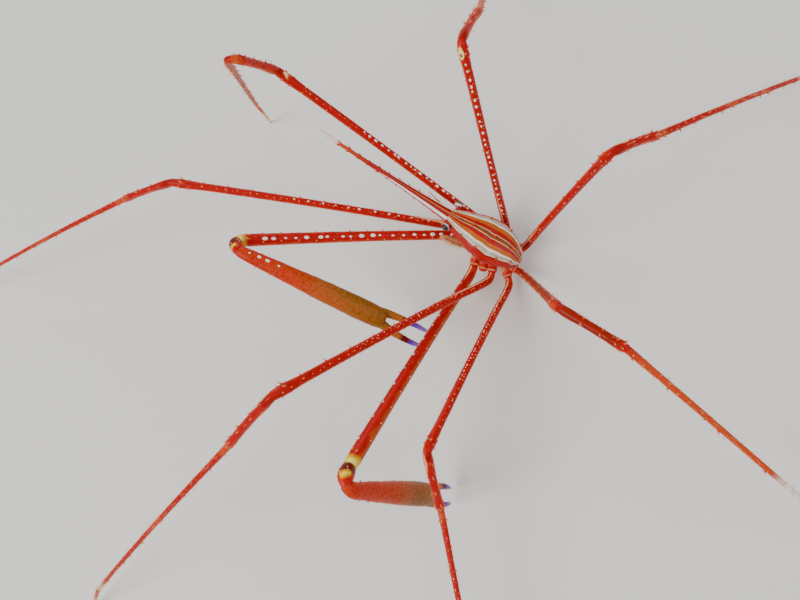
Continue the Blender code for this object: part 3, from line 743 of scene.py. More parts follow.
def limb_paint(name, bands, side_light, line_at=None, line_fade=(0.12, 0.3), patches=(), painted_glints=()):
    """Red above and lighter below, with a cream line near the root where it has one. Bands are
    (low, high, fade, colour, share) along the limb; patches are (low, high, turn, half width,
    unevenness, colour); the last list holds painted glints, pale ovals of painted highlight on the lit
    side, as (middle, half length, turn, half width, colour)."""
    paint = Paint(name)
    along = paint.fact("along")
    turn = paint.turn()
    wobble = paint.sway(420, 0.22)
    turned = paint.maths("FRACT", paint.plus(paint.plus(turn, wobble), 1.0))
    colour = paint.ramp(turned, side_light)
    colour = paint.mix(colour, DEEP_RED, paint.times(paint.mask(paint.noise(900), 0.5, 0.8), 0.5))
    if line_at is not None:
        line = paint.times(paint.below(paint.near_turn(turn, line_at), 0.020, 0.036),
                           paint.below(along, *line_fade))
        colour = paint.mix(colour, CREAM, line)
    for low, high, fade, tint, most in bands:
        inside = paint.window(along, (low - fade, low + fade), (high - fade, high + fade))
        colour = paint.mix(colour, tint, paint.times(inside, most))
    for low, high, middle, wide, uneven, tint in patches:
        ragged = paint.plus(along, paint.times(wobble, uneven))
        fade = 0.2 * uneven
        inside = paint.window(ragged, (low, low + fade), (high - fade, high))
        beside = paint.below(paint.near_turn(turned, middle), wide, wide + 0.05)
        colour = paint.mix(colour, tint, paint.times(inside, beside))
    # Pale ovals of painted highlight: painted glints where the light catches a knee
    for middle, half, centre, wide, tint in painted_glints:
        lengthwise = paint.maths("DIVIDE", paint.minus(along, middle), half)
        across = paint.maths("DIVIDE", paint.near_turn(turned, centre), wide)
        reach = paint.plus(paint.times(lengthwise, lengthwise), paint.times(across, across))
        colour = paint.mix(colour, tint, paint.below(reach, 0.7, 1.2))
    colour = paint.with_growths(colour, ORANGE, PALE_SPINE)
    paint.bump(paint.plus(paint.noise(2600, 2.0), paint.times(paint.cells(1500), 0.6)), 0.3)
    return paint.finish(colour)


def shell_paint():
    """Stripes by the place from the middle of the back, 0, to the edge, 1."""
    paint = Paint("shell", roughness=0.34, coat=0.35)
    across = paint.plus(paint.fact("girth"), paint.sway(350, 0.03))
    stripes = [(0.0, DARK_LINE), (0.005, BROWN_GOLD), (0.018, BROWN_GOLD), (0.022, DARK_LINE),
               (0.026, GOLD), (0.036, RED), (0.043, CREAM), (0.051, CREAM), (0.059, DEEP_RED),
               (0.085, RED), (0.172, RED), (0.180, LIGHT_ORANGE), (0.192, LIGHT_ORANGE),
               (0.200, BROWN_GOLD), (0.210, GOLD), (0.240, GOLD), (0.246, DARK_LINE), (0.252, GOLD),
               (0.309, GOLD), (0.319, WHITE), (0.378, WHITE), (0.388, TAN), (0.398, BLUE_GREY),
               (0.448, BLUE_GREY), (0.456, TAN), (0.466, BLUE_GREY), (0.515, BLUE_GREY),
               (0.526, CREAM), (0.543, CREAM), (0.555, DEEP_RED), (0.62, RED), (1.0, RED)]
    colour = paint.ramp(across, stripes)
    waves = paint.maths("SINE", paint.times(across, 190.0))
    streaks = paint.times(paint.mask(waves, 0.45, 0.95), paint.mask(paint.noise(500), 0.35, 0.55))
    strength = paint.level(across, [(0.0, STREAK_STRONG), (0.300, STREAK_STRONG),
                                    (0.318, STREAK_FAINT), (0.580, STREAK_FAINT),
                                    (0.60, STREAK_HALF), (1.0, STREAK_HALF)])
    colour = paint.mix(colour, DEEP_RED, paint.times(streaks, strength))
    speck = paint.mask(paint.noise(1500, 2.0), 0.62, 0.75)
    colour = paint.mix(colour, DEEP_RED, paint.times(speck, 0.25))
    colour = paint.with_growths(colour, RED, LIGHT_ORANGE)
    ridges = paint.times(paint.maths("SINE", paint.times(across, 98.0)), 0.5)
    grains = paint.plus(paint.noise(1800), paint.cells(1300))
    paint.bump(paint.plus(grains, ridges), 0.5)
    return paint.finish(colour)


def rostrum_paint():
    """Red with an orange ridge, white flanks near the root and a pale tip."""
    paint = Paint("beak", roughness=0.34, coat=0.35)
    along = paint.fact("along")
    from_top = paint.times(paint.near_turn(paint.turn(), 0.25), 2.0)
    plain = paint.ramp(from_top, [(0.0, ORANGE), (0.03, ORANGE), (0.06, DEEP_RED), (0.16, RED),
                                  (0.62, RED), (0.75, ORANGE), (1.0, RED)])
    striped = paint.ramp(from_top, [(0.0, LIGHT_ORANGE), (0.02, LIGHT_ORANGE), (0.04, DEEP_RED),
                                    (0.13, RED), (0.195, DEEP_RED), (0.215, WHITE),
                                    (0.375, WHITE), (0.40, RED), (1.0, RED)])
    reach = paint.plus(along, paint.times(from_top, -0.9))
    colour = paint.mix(plain, striped, paint.below(reach, 0.22, 0.27))
    colour = paint.mix(colour, LIGHT_ORANGE, paint.times(paint.mask(along, 0.62, 0.84), 0.5))
    colour = paint.mix(colour, PALE_TIP, paint.mask(along, 0.84, 0.88))
    colour = paint.with_growths(colour, RED, LIGHT_ORANGE)
    paint.bump(paint.noise(2400), 0.3)
    return paint.finish(colour)


def palm_paint():
    """Orange near the wrist, olive further on, with violet fingers that have white tips."""
    paint = Paint("palm")
    along = paint.fact("along")
    drift = paint.plus(along, paint.sway(260, 0.3))
    colour = paint.ramp(drift, [(0.0, ORANGE), (0.25, ORANGE), (0.45, DULL_ORANGE), (0.58, TAN),
                                (0.70, OLIVE), (1.0, OLIVE)])
    redder = paint.ramp(drift, [(0.0, RED), (0.35, ORANGE), (0.7, TAN), (1.0, OLIVE)])
    upper = paint.level(paint.turn(), [(0.0, WHITE), (0.2, WHITE), (0.32, DARK_BROWN),
                                       (0.68, DARK_BROWN), (0.8, WHITE), (1.0, WHITE)])
    colour = paint.mix(colour, redder, paint.times(upper, 0.6))
    grains = paint.below(paint.cells(PALM_CELLS), 0.16, 0.30)
    colour = paint.mix(colour, ORANGE, paint.times(grains, 0.6))
    # Deep red in the hollows between the grains: painted shade in the pits
    shaded_hollows = paint.mask(paint.cells(PALM_CELLS), 0.42, 0.70)
    colour = paint.mix(colour, DEEP_RED, paint.times(shaded_hollows, 0.35))
    blotch = paint.mask(paint.noise(500, 4.0), 0.52, 0.70)
    colour = paint.mix(colour, DULL_ORANGE, paint.times(blotch, 0.5))
    colour = paint.with_growths(colour, ORANGE, LIGHT_ORANGE)
    tip = paint.ramp(along, [(0.0, OLIVE), (0.40, TAN), (0.47, DEEP_RED), (0.58, DEEP_RED),
                             (0.66, VIOLET), (0.86, PALE_VIOLET), (0.93, WHITE), (1.0, WHITE)])
    colour = paint.mix(colour, tip, paint.mask(paint.fact("tone"), 4.9, 5.0))
    paint.bump(paint.below(paint.cells(PALM_CELLS), 0.0, 0.45), 0.9)
    return paint.finish(colour)


def flesh_paint(name, tint, other):
    paint = Paint(name, roughness=0.42, subsurface=0.3)
    patch = paint.mask(paint.noise(700, 4.0), 0.42, 0.66)
    colour = paint.mix(tint, other, paint.times(patch, 0.6))
    colour = paint.with_growths(colour, tint, PALE_SPINE)
    paint.bump(paint.noise(2000), 0.3)
    return paint.finish(colour)


def eye_paint():
    paint = Paint("eye", roughness=0.10, coat=0.8, subsurface=0.0)
    colour = paint.ramp(paint.fact("along"), [(0.0, ORANGE), (0.22, RED), (0.34, DARK_BROWN),
                                              (0.38, EYE_GREY), (0.60, EYE_PALE),
                                              (0.66, DARK_BROWN), (1.0, EYE_DARK)])
    facets = paint.mask(paint.cells(9000), 0.2, 0.5)
    colour = paint.mix(colour, EYE_FACET, paint.times(facets, 0.15))
    return paint.finish(colour)


# The turn round a limb: 0 above, 0.5 below. One flank of a leg is lighter
RIGHT_AROUND = [(0.0, RED), (0.12, RED), (0.18, ORANGE), (0.25, LIGHT_ORANGE), (0.50, LIGHT_ORANGE),
                (0.70, ORANGE), (0.80, ORANGE), (0.87, RED), (1.0, RED)]
LEFT_AROUND = [(1.0 - place, colour) for place, colour in reversed(RIGHT_AROUND)]
PALE_FLANK = [(0.0, RED), (0.45, RED), (0.60, LIGHT_ORANGE), (0.80, DULL_ORANGE),
              (0.93, DULL_ORANGE), (0.98, RED), (1.0, RED)]
LEFT_LINE = 0.13
RIGHT_LINE = 0.86
ROOT_BAND = (0.0, 0.03, 0.01, ORANGE, 0.7)
ARM_BAND = (0.0, 0.03, 0.02, ORANGE, 0.6)
CARPUS_BANDS = [(0.0, 0.10, 0.04, DEEP_RED, 0.4), (0.93, 1.0, 0.03, LIGHT_ORANGE, 0.5)]
ELBOW_PATCHES = [(0.962, 1.2, 0.0, 0.17, 0.12, YELLOW), (0.975, 1.2, 0.01, 0.05, 0.12, PALE_YELLOW)]

LEFT_PAINT = limb_paint("leg_left", [ROOT_BAND], LEFT_AROUND, LEFT_LINE)
HIND_PAINT = limb_paint("leg_hind", [(0.0, 0.9, 0.1, BROWN_RED, 0.55)], LEFT_AROUND)
THIGH_PAINT = {
    ("right", 1): limb_paint("leg_front", [ROOT_BAND], RIGHT_AROUND),
    # The pale yellow ovals near the knees of the second and third right legs are painted glints, a
    # painted highlight
    ("right", 2): limb_paint("leg_second", [ROOT_BAND], RIGHT_AROUND,
                             painted_glints=[(0.972, 0.014, 0.05, 0.08, PALE_YELLOW)]),
    ("right", 3): limb_paint("leg_third", [ROOT_BAND], RIGHT_AROUND, RIGHT_LINE,
                             painted_glints=[(0.967, 0.022, 0.86, 0.10, PALE_YELLOW)]),
    ("right", 4): limb_paint("leg_right", [ROOT_BAND], RIGHT_AROUND, RIGHT_LINE),
    ("left", 2): LEFT_PAINT,
    ("left", 3): LEFT_PAINT,
    ("left", 4): HIND_PAINT,
}
CARPUS_PAINT = limb_paint("carpus", CARPUS_BANDS, RIGHT_AROUND)
# The pale ovals on the upper edges of these carpi are painted highlights, glints where the light catches
# them
CARPUS_RIGHT_PAINT = limb_paint("carpus_right_glint", CARPUS_BANDS, RIGHT_AROUND,
                                painted_glints=[(0.24, 0.26, 0.81, 0.07, PALE_SPINE)])
CARPUS_LEFT_PAINT = limb_paint("carpus_left_glint", CARPUS_BANDS, LEFT_AROUND,
                               painted_glints=[(0.14, 0.14, 0.17, 0.06, PALE_SPINE)])
KNEE_PAINT = {
    ("right", 1): CARPUS_PAINT,
    ("right", 2): CARPUS_PAINT,
    ("right", 3): CARPUS_RIGHT_PAINT,
    ("right", 4): CARPUS_RIGHT_PAINT,
    ("left", 2): CARPUS_LEFT_PAINT,
    ("left", 3): CARPUS_LEFT_PAINT,
    ("left", 4): HIND_PAINT,
}
PLAIN_SHIN_PAINT = limb_paint("leg_far", [(0.0, 0.03, 0.015, LIGHT_ORANGE, 0.5),
                                          (0.42, 0.48, 0.02, LIGHT_ORANGE, 0.4),
                                          (0.94, 1.0, 0.02, CREAM, 0.6)], RIGHT_AROUND)
SHIN_PAINT = {
    # The second right leg's shin is darkened with deep red: painted shade, as its far part lies out of
    # the light
    ("right", 2): limb_paint("leg_far_painted_shade", [(0.0, 0.9, 0.05, DEEP_RED, 0.55)], RIGHT_AROUND),
    ("left", 4): limb_paint("leg_far_pale", [(0.02, 0.76, 0.04, LIGHT_ORANGE, 0.4),
                                             (0.76, 1.1, 0.04, WHITE, 0.85)], LEFT_AROUND),
}
CLAW_PAINT = limb_paint("leg_claw", [(0.0, 0.2, 0.1, LIGHT_ORANGE, 0.5),
                                     (0.35, 1.0, 0.15, CREAM, 0.7)], RIGHT_AROUND)
ARM_PAINT = {
    "right": limb_paint("arm_right", [ARM_BAND], LEFT_AROUND, patches=ELBOW_PATCHES),
    "left": limb_paint("arm_left", [ARM_BAND], PALE_FLANK, LEFT_LINE, (0.04, 0.10), ELBOW_PATCHES),
}
WRIST_PAINT = limb_paint("arm_wrist", [(0.0, 0.62, 0.08, DEEP_RED, 0.9)], LEFT_AROUND,
                         patches=[(0.56, 0.86, 0.03, 0.08, 0.8, YELLOW),
                                  (0.66, 0.80, 0.04, 0.01, 0.8, PALE_YELLOW)])
COXA_PAINT = limb_paint("coxa", [(0.0, 0.5, 0.2, FLESH, 0.6)], RIGHT_AROUND,
                        patches=[(0.82, 0.96, 0.05, 0.13, 0.6, CREAM),
                                 (0.45, 0.70, 0.25, 0.10, 0.8, FLESH),
                                 (0.35, 0.60, 0.85, 0.06, 0.8, CREAM)])
SHELL_PAINT = shell_paint()
BEAK_PAINT = rostrum_paint()
PALM_PAINT = palm_paint()
MOUTH_PAINT = flesh_paint("mouth", FLESH, DULL_ORANGE)
TRUNK_PAINT = flesh_paint("trunk", FLESH, LIGHT_ORANGE)
EYE_PAINT = eye_paint()


def carapace_half(x):
    stops = [(CARAPACE_REAR, 0.20), (-9.0 * MM, 0.42), (-7.7 * MM, 0.62), (-4.5 * MM, 0.90),
             (-2.0 * MM, 1.0), (1.0 * MM, 0.92), (4.0 * MM, 0.72), (5.3 * MM, 0.62),
             (7.2 * MM, 0.46), (CARAPACE_FRONT, 0.31)]
    return CARAPACE_HALF_WIDTH * along_stops(stops, x)


def carapace_ridge(x):
    stops = [(CARAPACE_REAR, 0.10), (-8.8 * MM, 0.48), (-6.5 * MM, 0.90), (-3.5 * MM, 1.0),
             (0.0, 0.92), (3.0 * MM, 0.72), (6.0 * MM, 0.52), (CARAPACE_FRONT, 0.40)]
    return CARAPACE_TOP * along_stops(stops, x)


def swelling(x, y):
    """The shell's regions, in millimetres of height: gut, heart and gill swellings and the groove
    between them."""
    x, y = x / MM, abs(y) / MM
    rise = 0.34 * math.exp(-((x - 2.6) / 1.7) ** 2 - (y / 1.3) ** 2)
    rise += 0.26 * math.exp(-((x + 4.4) / 1.5) ** 2 - (y / 1.3) ** 2)
    rise += 0.24 * math.exp(-((x + 4.6) / 2.3) ** 2 - ((y - 3.1) / 1.2) ** 2)
    rise -= 0.30 * math.exp(-((x + 0.9 + 0.25 * y) / 0.6) ** 2)
    return rise * MM


def shell_edge(x):
    """The height at which the shell's rounded back meets its side."""
    return CARAPACE_FLOOR + EDGE_SHARE * (carapace_ridge(x) - CARAPACE_FLOOR)


def back_height(x, y):
    edge = shell_edge(x)
    a = math.acos(min(1.0, (abs(y) / carapace_half(x)) ** (1 / EDGE_SQUARE)))
    rise = (carapace_ridge(x) - edge) * math.sin(a) ** SHELL_ARCH
    return edge + rise + swelling(x, y) * math.sin(a)


def dress_carapace():
    shape = Shape()
    across = 56
    under = 12
    count = 84
    rings = []
    facts = []
    for i in range(count + 1):
        x = CARAPACE_REAR + (CARAPACE_FRONT - CARAPACE_REAR) * i / count
        half = carapace_half(x)
        ridge = carapace_ridge(x)
        edge = shell_edge(x)
        ring = []
        told = []
        for k in range(across + 1):
            a = math.pi * k / across
            y = half * math.copysign(abs(math.cos(a)) ** EDGE_SQUARE, math.cos(a))
            z = edge + (ridge - edge) * math.sin(a) ** SHELL_ARCH
            z += swelling(x, y) * math.sin(a)
            place = Vector((x, y, z))
            grain = 0.05 * MM * noise.noise(place * 1100) * math.sin(a)
            ring.append(on_body(x, y, z + grain))
            told.append((i / count, abs(a / math.pi * 2 - 1), SHELL))
        for k in range(1, under):
            t = k / under
            y = half * (-0.99 + 1.98 * t)
            drop = math.sin(math.pi * t) ** 0.4
            ring.append(on_body(x, y, edge + (CARAPACE_FLOOR - edge) * drop))
            told.append((i / count, 1.0, SHELL))
        rings.append(ring)
        facts.append(told)
    shape.rings(rings, facts)
    row = Row(1)
    places = [(-6.2, 0.0), (-1.6, 0.0), (3.4, 0.0), (-4.2, 0.78), (0.6, 0.80), (4.4, 0.82), (-7.4, 0.68)]
    for x, share in places:
        for side in ((1, -1) if share else (1,)):
            y = side * share * carapace_half(x * MM)
            z = back_height(x * MM, y)
            out = body_way(0.05, share * side * 0.9, 1.0)
            grow_spine(shape, on_body(x * MM, y, z), out, row.vary(BACK_SPINE[0]),
                       row.vary(BACK_SPINE[1], 0.1), 0.5, sides=9)
    extra = Row(101)
    for _ in range(SHELL_GRAINS):
        x = extra.between(-9.0, 7.6) * MM
        share = extra.between(-0.95, 0.95)
        y = share * carapace_half(x)
        out = body_way(0.0, share, 1.0)
        girth = abs(math.acos(abs(share) ** (1 / EDGE_SQUARE)) / math.pi * 2 - 1)
        grow_dot(shape, on_body(x, y, back_height(x, y)), out, extra.vary(GRAIN_RADIUS, 0.4), 0.5,
                 SHELL, girth)
    for x in range(-8, 8):
        for side in (1, -1):
            y = side * carapace_half(x * MM)
            root = on_body(x * MM, y * 0.99, shell_edge(x * MM))
            grow_spine(shape, root, body_way(0.5, side, 0.1), extra.vary(EDGE_SMALL[0]),
                       EDGE_SMALL[1], 0.5)
    shape.piece("shell_back", SHELL_PAINT, ["carapace"])


def dress_rostrum():
    start = CARAPACE_FRONT + GAP
    path = []
    sizes = []
    for i in range(12):
        t = i / 11
        path.append(on_body(start + ROSTRUM_LENGTH * t, 0, (0.15 + 0.6 * t * t) * MM))
        thick = ROSTRUM_ROOT + (ROSTRUM_TIP - ROSTRUM_ROOT) * (1 - (1 - t) ** 2.2)
        thick += ROSTRUM_THICKER * t
        sizes.append((t, thick / ROSTRUM_ROOT))
    forward = body_way(1, 0, 0)
    side = body_way(0, 1, 0)
    shape = Shape()
    path[0] = path[0] - forward * (0.6 * MM)
    made = grow_tube(shape, path, sizes, ROSTRUM_ROOT, (forward, forward), side, flat=0.86,
                     domes=(0, 1.5), rough=0.02, step=0.4 * MM, sides=28)
    places = [0.10 + 0.075 * i for i in range(11)]
    set_spines(shape, made, places, (8, 172), ROSTRUM_SPINE, Row(2), 0.9)
    row = Row(102)
    for i in range(30):
        for turn in (15, 165):
            place = 0.06 + 0.9 * i / 30 + row.between(-0.01, 0.01)
            root, out, ahead, deep = on_tube(made, place, turn + row.between(-14, 14))
            aim = (out + ahead * 0.9).normalized()
            grow_spine(shape, root - out * (0.1 * deep), aim, row.vary(ROSTRUM_SMALL[0], 0.3),
                       ROSTRUM_SMALL[1], 0.5)
    shape.piece("beak_spike", BEAK_PAINT, ["rostrum"])


def dress_eyes():
    for side_name, sign in SIDES:
        shape = Shape()
        out = body_way(0.25, sign, 0.12)
        root = on_body(EYE_X, sign * EYE_Y, EYE_Z)
        profile = [(-0.55, 0.56), (-0.1, 0.58), (0.12, 0.64), (0.3, 0.76), (0.45, 0.88),
                   (0.62, 0.97), (0.8, 1.0), (1.0, 0.99), (1.2, 0.93), (1.36, 0.82), (1.5, 0.66),
                   (1.6, 0.48), (1.66, 0.30), (1.69, 0.12)]
        sides = 28
        across = body_way(1, 0, 0)
        across = (across - out * across.dot(out)).normalized()
        over = out.cross(across)
        rings = []
        facts = []
        for reach, size in profile:
            centre = root + out * (EYE_RADIUS * reach)
            rings.append(circle(centre, across, over, sides, EYE_RADIUS * size))
            share = (reach - profile[0][0]) / (profile[-1][0] - profile[0][0])
            facts.append([(share, 0.0, SHELL)] * sides)
        shape.rings(rings, facts)
        shape.piece("eyeball_" + side_name, EYE_PAINT, ["eye_" + side_name])


def dress_mouth():
    for side_name, sign in SIDES:
        shape = Shape()
        start = on_body(CARAPACE_FRONT + GAP, sign * 1.35 * MM, -1.15 * MM)
        end = start + body_way(1, sign * 0.35, -0.25) * ANTENNA_LENGTH
        forward = body_way(1, 0, 0)
        path = [start - forward * (0.8 * MM)] + between(start, end, -0.2 * MM, 6) + [end]
        sizes = [(0, 1.25), (0.16, 1.3), (0.22, 0.85), (0.34, 0.95), (0.42, 0.62), (1.0, 0.34)]
        made = grow_tube(shape, path, sizes, ANTENNA_RADIUS, (forward, forward), body_way(0, 1, 0),
                         domes=(0, 0.8), rough=0.05, step=FINE_STEP, sides=12)
        set_bristles(shape, made, 26, (0.3, 0.97), Row(110 + sign), FEELER_BRISTLE)
        shape.piece("feeler_" + side_name, MOUTH_PAINT, ["antenna_" + side_name])

        shape = Shape()
        start = on_body(THORAX_FRONT + GAP, (2.3 if sign > 0 else -1.6) * MM, -2.6 * MM)
        way = body_way(1, 0.2 if sign > 0 else 0.05, -0.05)
        sizes = [(0, 0.50), (0.12, 0.82), (0.35, 0.86), (0.46, 0.78), (0.5, 0.74), (0.54, 0.80),
                 (0.75, 0.72), (0.9, 0.52), (1.0, 0.30)]
        path = [start + way * (MAXILLIPED_LENGTH * t / 8) for t in range(9)]
        made = grow_tube(shape, path, sizes, 0.95 * MM, (forward, forward), body_way(0, 1, 0),
                         flat=0.62, domes=(0.2, 0.8), rough=0.06, step=FINE_STEP, sides=24)
        set_bristles(shape, made, 90, (0.25, 1.0), Row(120 + sign), JAW_BRISTLE,
                     (-50, 50) if sign > 0 else (130, 230))
        for j in range(3):
            root = start + way * (MAXILLIPED_LENGTH * (0.30 + 0.22 * j))
            root = root + body_way(0, sign, 0.3) * (0.55 * MM)
            tip = root + body_way(0.9, sign * (0.5 - 0.1 * j), 0.25) * ((2.6 - 0.4 * j) * MM)
            palp = []
            for t in range(6):
                bow = body_way(0, 0, 1) * (0.25 * MM * math.sin(math.pi * t / 5))
                palp.append(root.lerp(tip, t / 5) + bow)
            grow_tube(shape, palp, [(0, 1.0), (0.5, 0.8), (1, 0.35)], 0.27 * MM, (way, way),
                      domes=(0.6, 1.0), rough=0.05, step=FINE_STEP, sides=10)
        shape.piece("jaw_limb_" + side_name, MOUTH_PAINT, ["maxilliped_" + side_name])


def keel_ring(x, half, top, depth, ripple, square, steps, lid):
    """A ring across the body with a flat top and a rounded lower side."""
    ring = []
    for k in range(steps + 1):
        a = math.pi * k / steps
        drop = (depth - ripple * math.sin(a)) * math.sin(a) ** square
        ring.append(on_body(x, half * math.cos(a), top - drop))
    for k in range(1, lid):
        ring.append(on_body(x, half * (-1 + 2 * k / lid), top))
    return ring


def dress_trunk():
    shape = Shape()
    top = CARAPACE_FLOOR - GAP
    rear = CARAPACE_REAR + 0.5 * MM
    rings = []
    facts = []
    for i in range(41):
        x = rear + (THORAX_FRONT - rear) * i / 40
        half = TRUNK_SHARE * carapace_half(x)
        slope = (x - THORAX_SLOPE_FROM) / (THORAX_FRONT - THORAX_SLOPE_FROM)
        depth = THORAX_FLOOR + THORAX_RISE * max(0.0, slope)
        ripple = 0.10 * MM * math.cos(2 * math.pi * x / (2.1 * MM))
        rings.append(keel_ring(x, half, top, top - depth, ripple, 0.7, 32, 8))
        facts.append([(i / 40, 0.5, SHELL)] * len(rings[-1]))
    shape.rings(rings, facts)
    row = Row(130)
    coxae = Shape()
    for limb in HIP:
        start, end = coxa_root(limb), hip(limb)
        path = [start.lerp(end, t) for t in (0.0, 0.3, 0.6, 0.85, 1.0)]
        way = coxa_way(limb)
        sizes = [(0, 0.7), (0.5, 0.98), (0.72, 1.0), (0.86, 1.06), (1.0, 0.86)]
        made = grow_tube(coxae, path, sizes, COXA_RADIUS, (way, way), domes=(0, 0.35), rough=0.05,
                         step=FINE_STEP, sides=22, faced=True)
        set_spines(coxae, made, [0.86], (-70, 0, 70), COXA_SMALL, row, 0.9)
    shape.piece("trunk", TRUNK_PAINT, ["thorax"])
    coxae.piece("coxae", COXA_PAINT, [])

    shape = Shape()
    rings = []
    facts = []
    for i in range(43):
        t = i / 42
        x = ABDOMEN_REAR + ABDOMEN_LENGTH * t
        half = (1.1 + 0.5 * math.sin(math.pi * t)) * MM
        low = THORAX_FLOOR - GAP
        step = 0.07 * MM * abs(math.sin(math.pi * 6 * t))
        rings.append(keel_ring(x, half, low, 0.68 * MM + step, 0.0, 0.6, 24, 6))
        facts.append([(t, 0.5, SHELL)] * len(rings[-1]))
    shape.rings(rings, facts)
    shape.piece("tail_plate", MOUTH_PAINT, ["abdomen"])


def dress_leg(limb):
    side_name, pair = limb
    name = f"leg_{side_name}_{pair}"
    (start, knee, wrist, heel, claw), ways = leg_points(limb)
    row = Row(10 * pair + (side_name == "left"))
    extra = Row(200 + 10 * pair + (side_name == "left"))
    out = coxa_way(limb)
    share = PAIR_SHARE[pair] / PAIR_SHARE[1]
    slim = 0.82 + 0.18 * share
    to_knee, from_knee, knee_way = turn_at(knee, ways[0], ways[1], CARPUS_RADIUS)
    to_wrist, from_wrist, wrist_way = turn_at(wrist, ways[1], ways[2], CARPUS_RADIUS)
    to_heel, from_heel, heel_way = turn_at(heel, ways[2], ways[3], DACTYLUS_RADIUS)

    first = hip_turn(start, out, ways[0])
    path = first + between(first[-1], to_knee[0], MERUS_BOW * (knee - start).length, 5) + to_knee
    shape = Shape()
    made = grow_tube(shape, path, MERUS_SHAPE, MERUS_RADIUS * slim, (out, knee_way), faced=True)
    count = max(4, round(11 * share))
    set_spines(shape, made, spaced(0.14, 0.76, count - 1), (35, 325), LEG_SPINE, row)
    set_spines(shape, made, [0.962], (20, 180, 340), KNEE_SPINE, row, 0.9)
    small = spaced(0.08, 0.86, 4 * count, whole=False)
    set_spines(shape, made, small, (100, 215, 270), THIGH_SMALL, extra, 0.6)
    set_spines(shape, made, [0.945, 0.975], (-60, 60, 120, 240), THIGH_END, extra, 0.9)
    outer = turn_towards(made, DOT_WAY)
    set_dots(shape, made, round(40 * share), (0.05, 0.9), outer, extra, FINE_DOT_RADIUS, 9, PALE_DOT)
    if limb in DOT_ROWS:
        dots, span, offset, radius = DOT_ROWS[limb]
        set_dots(shape, made, dots, span, outer + offset, extra, radius, 4)
    set_bristles(shape, made, round(40 * share), (0.2, 0.95), extra, LEG_BRISTLE)
    shape.piece(name + "_thigh", THIGH_PAINT[limb], [name + "_merus"])

    path = from_knee + between(from_knee[-1], to_wrist[0], 0.25 * MM, 2) + to_wrist
    shape = Shape()
    made = grow_tube(shape, path, CARPUS_SHAPE, CARPUS_RADIUS * slim, (knee_way, wrist_way), faced=True)
    set_spines(shape, made, (0.34, 0.62, 0.84), (30, 330), LEG_SPINE, row)
    set_spines(shape, made, spaced(0.12, 0.78, 12), (80, 180, 270), KNEE_SMALL, extra, 0.6)
    set_spines(shape, made, [0.93], (-90, -30, 30, 90), KNEE_END, extra, 0.9)
    set_bristles(shape, made, 24, (0.1, 0.98), extra, KNEE_BRISTLE)
    shape.piece(name + "_knee", KNEE_PAINT[limb], [name + "_carpus"])

    bow = PROPODUS_BOW * (heel - wrist).length
    path = from_wrist + between(from_wrist[-1], to_heel[0], bow, 4) + to_heel
    shape = Shape()
    made = grow_tube(shape, path, PROPODUS_SHAPE, PROPODUS_RADIUS * slim, (wrist_way, heel_way),
                     faced=True)
    count = max(3, round(7 * share))
    set_spines(shape, made, spaced(0.12, 0.8, count - 1), (150, 215), LEG_SPINE, row, 0.6)
    small = spaced(0.05, 0.92, 5 * count, whole=False)
    set_spines(shape, made, small, (30, 330), SHIN_SMALL, extra, 0.7)
    set_spines(shape, made, [0.03, 0.2, 0.45, 0.7], (90, 130, 230), SHIN_LONG, extra, 0.8)
    set_dots(shape, made, round(12 * share), (0.03, 0.35), 20, extra, 0.10 * MM, 30, PALE_DOT)
    set_bristles(shape, made, round(150 * share), (0.04, 0.98), extra, SHIN_BRISTLE)
    paint = SHIN_PAINT.get(limb, PLAIN_SHIN_PAINT)
    shape.piece(name + "_shin", paint, [name + "_propodus"])

    path = from_heel + between(from_heel[-1], claw, 0.0, 2) + [claw]
    shape = Shape()
    made = grow_tube(shape, path, DACTYLUS_SHAPE, DACTYLUS_RADIUS, (heel_way, UP),
                     domes=(LOW_DOME, 0), faced=True)
    set_bristles(shape, made, round(60 * share), (0.02, 0.85), extra, LEG_BRISTLE)
    shape.piece(name + "_toe", CLAW_PAINT, [name + "_dactylus"])


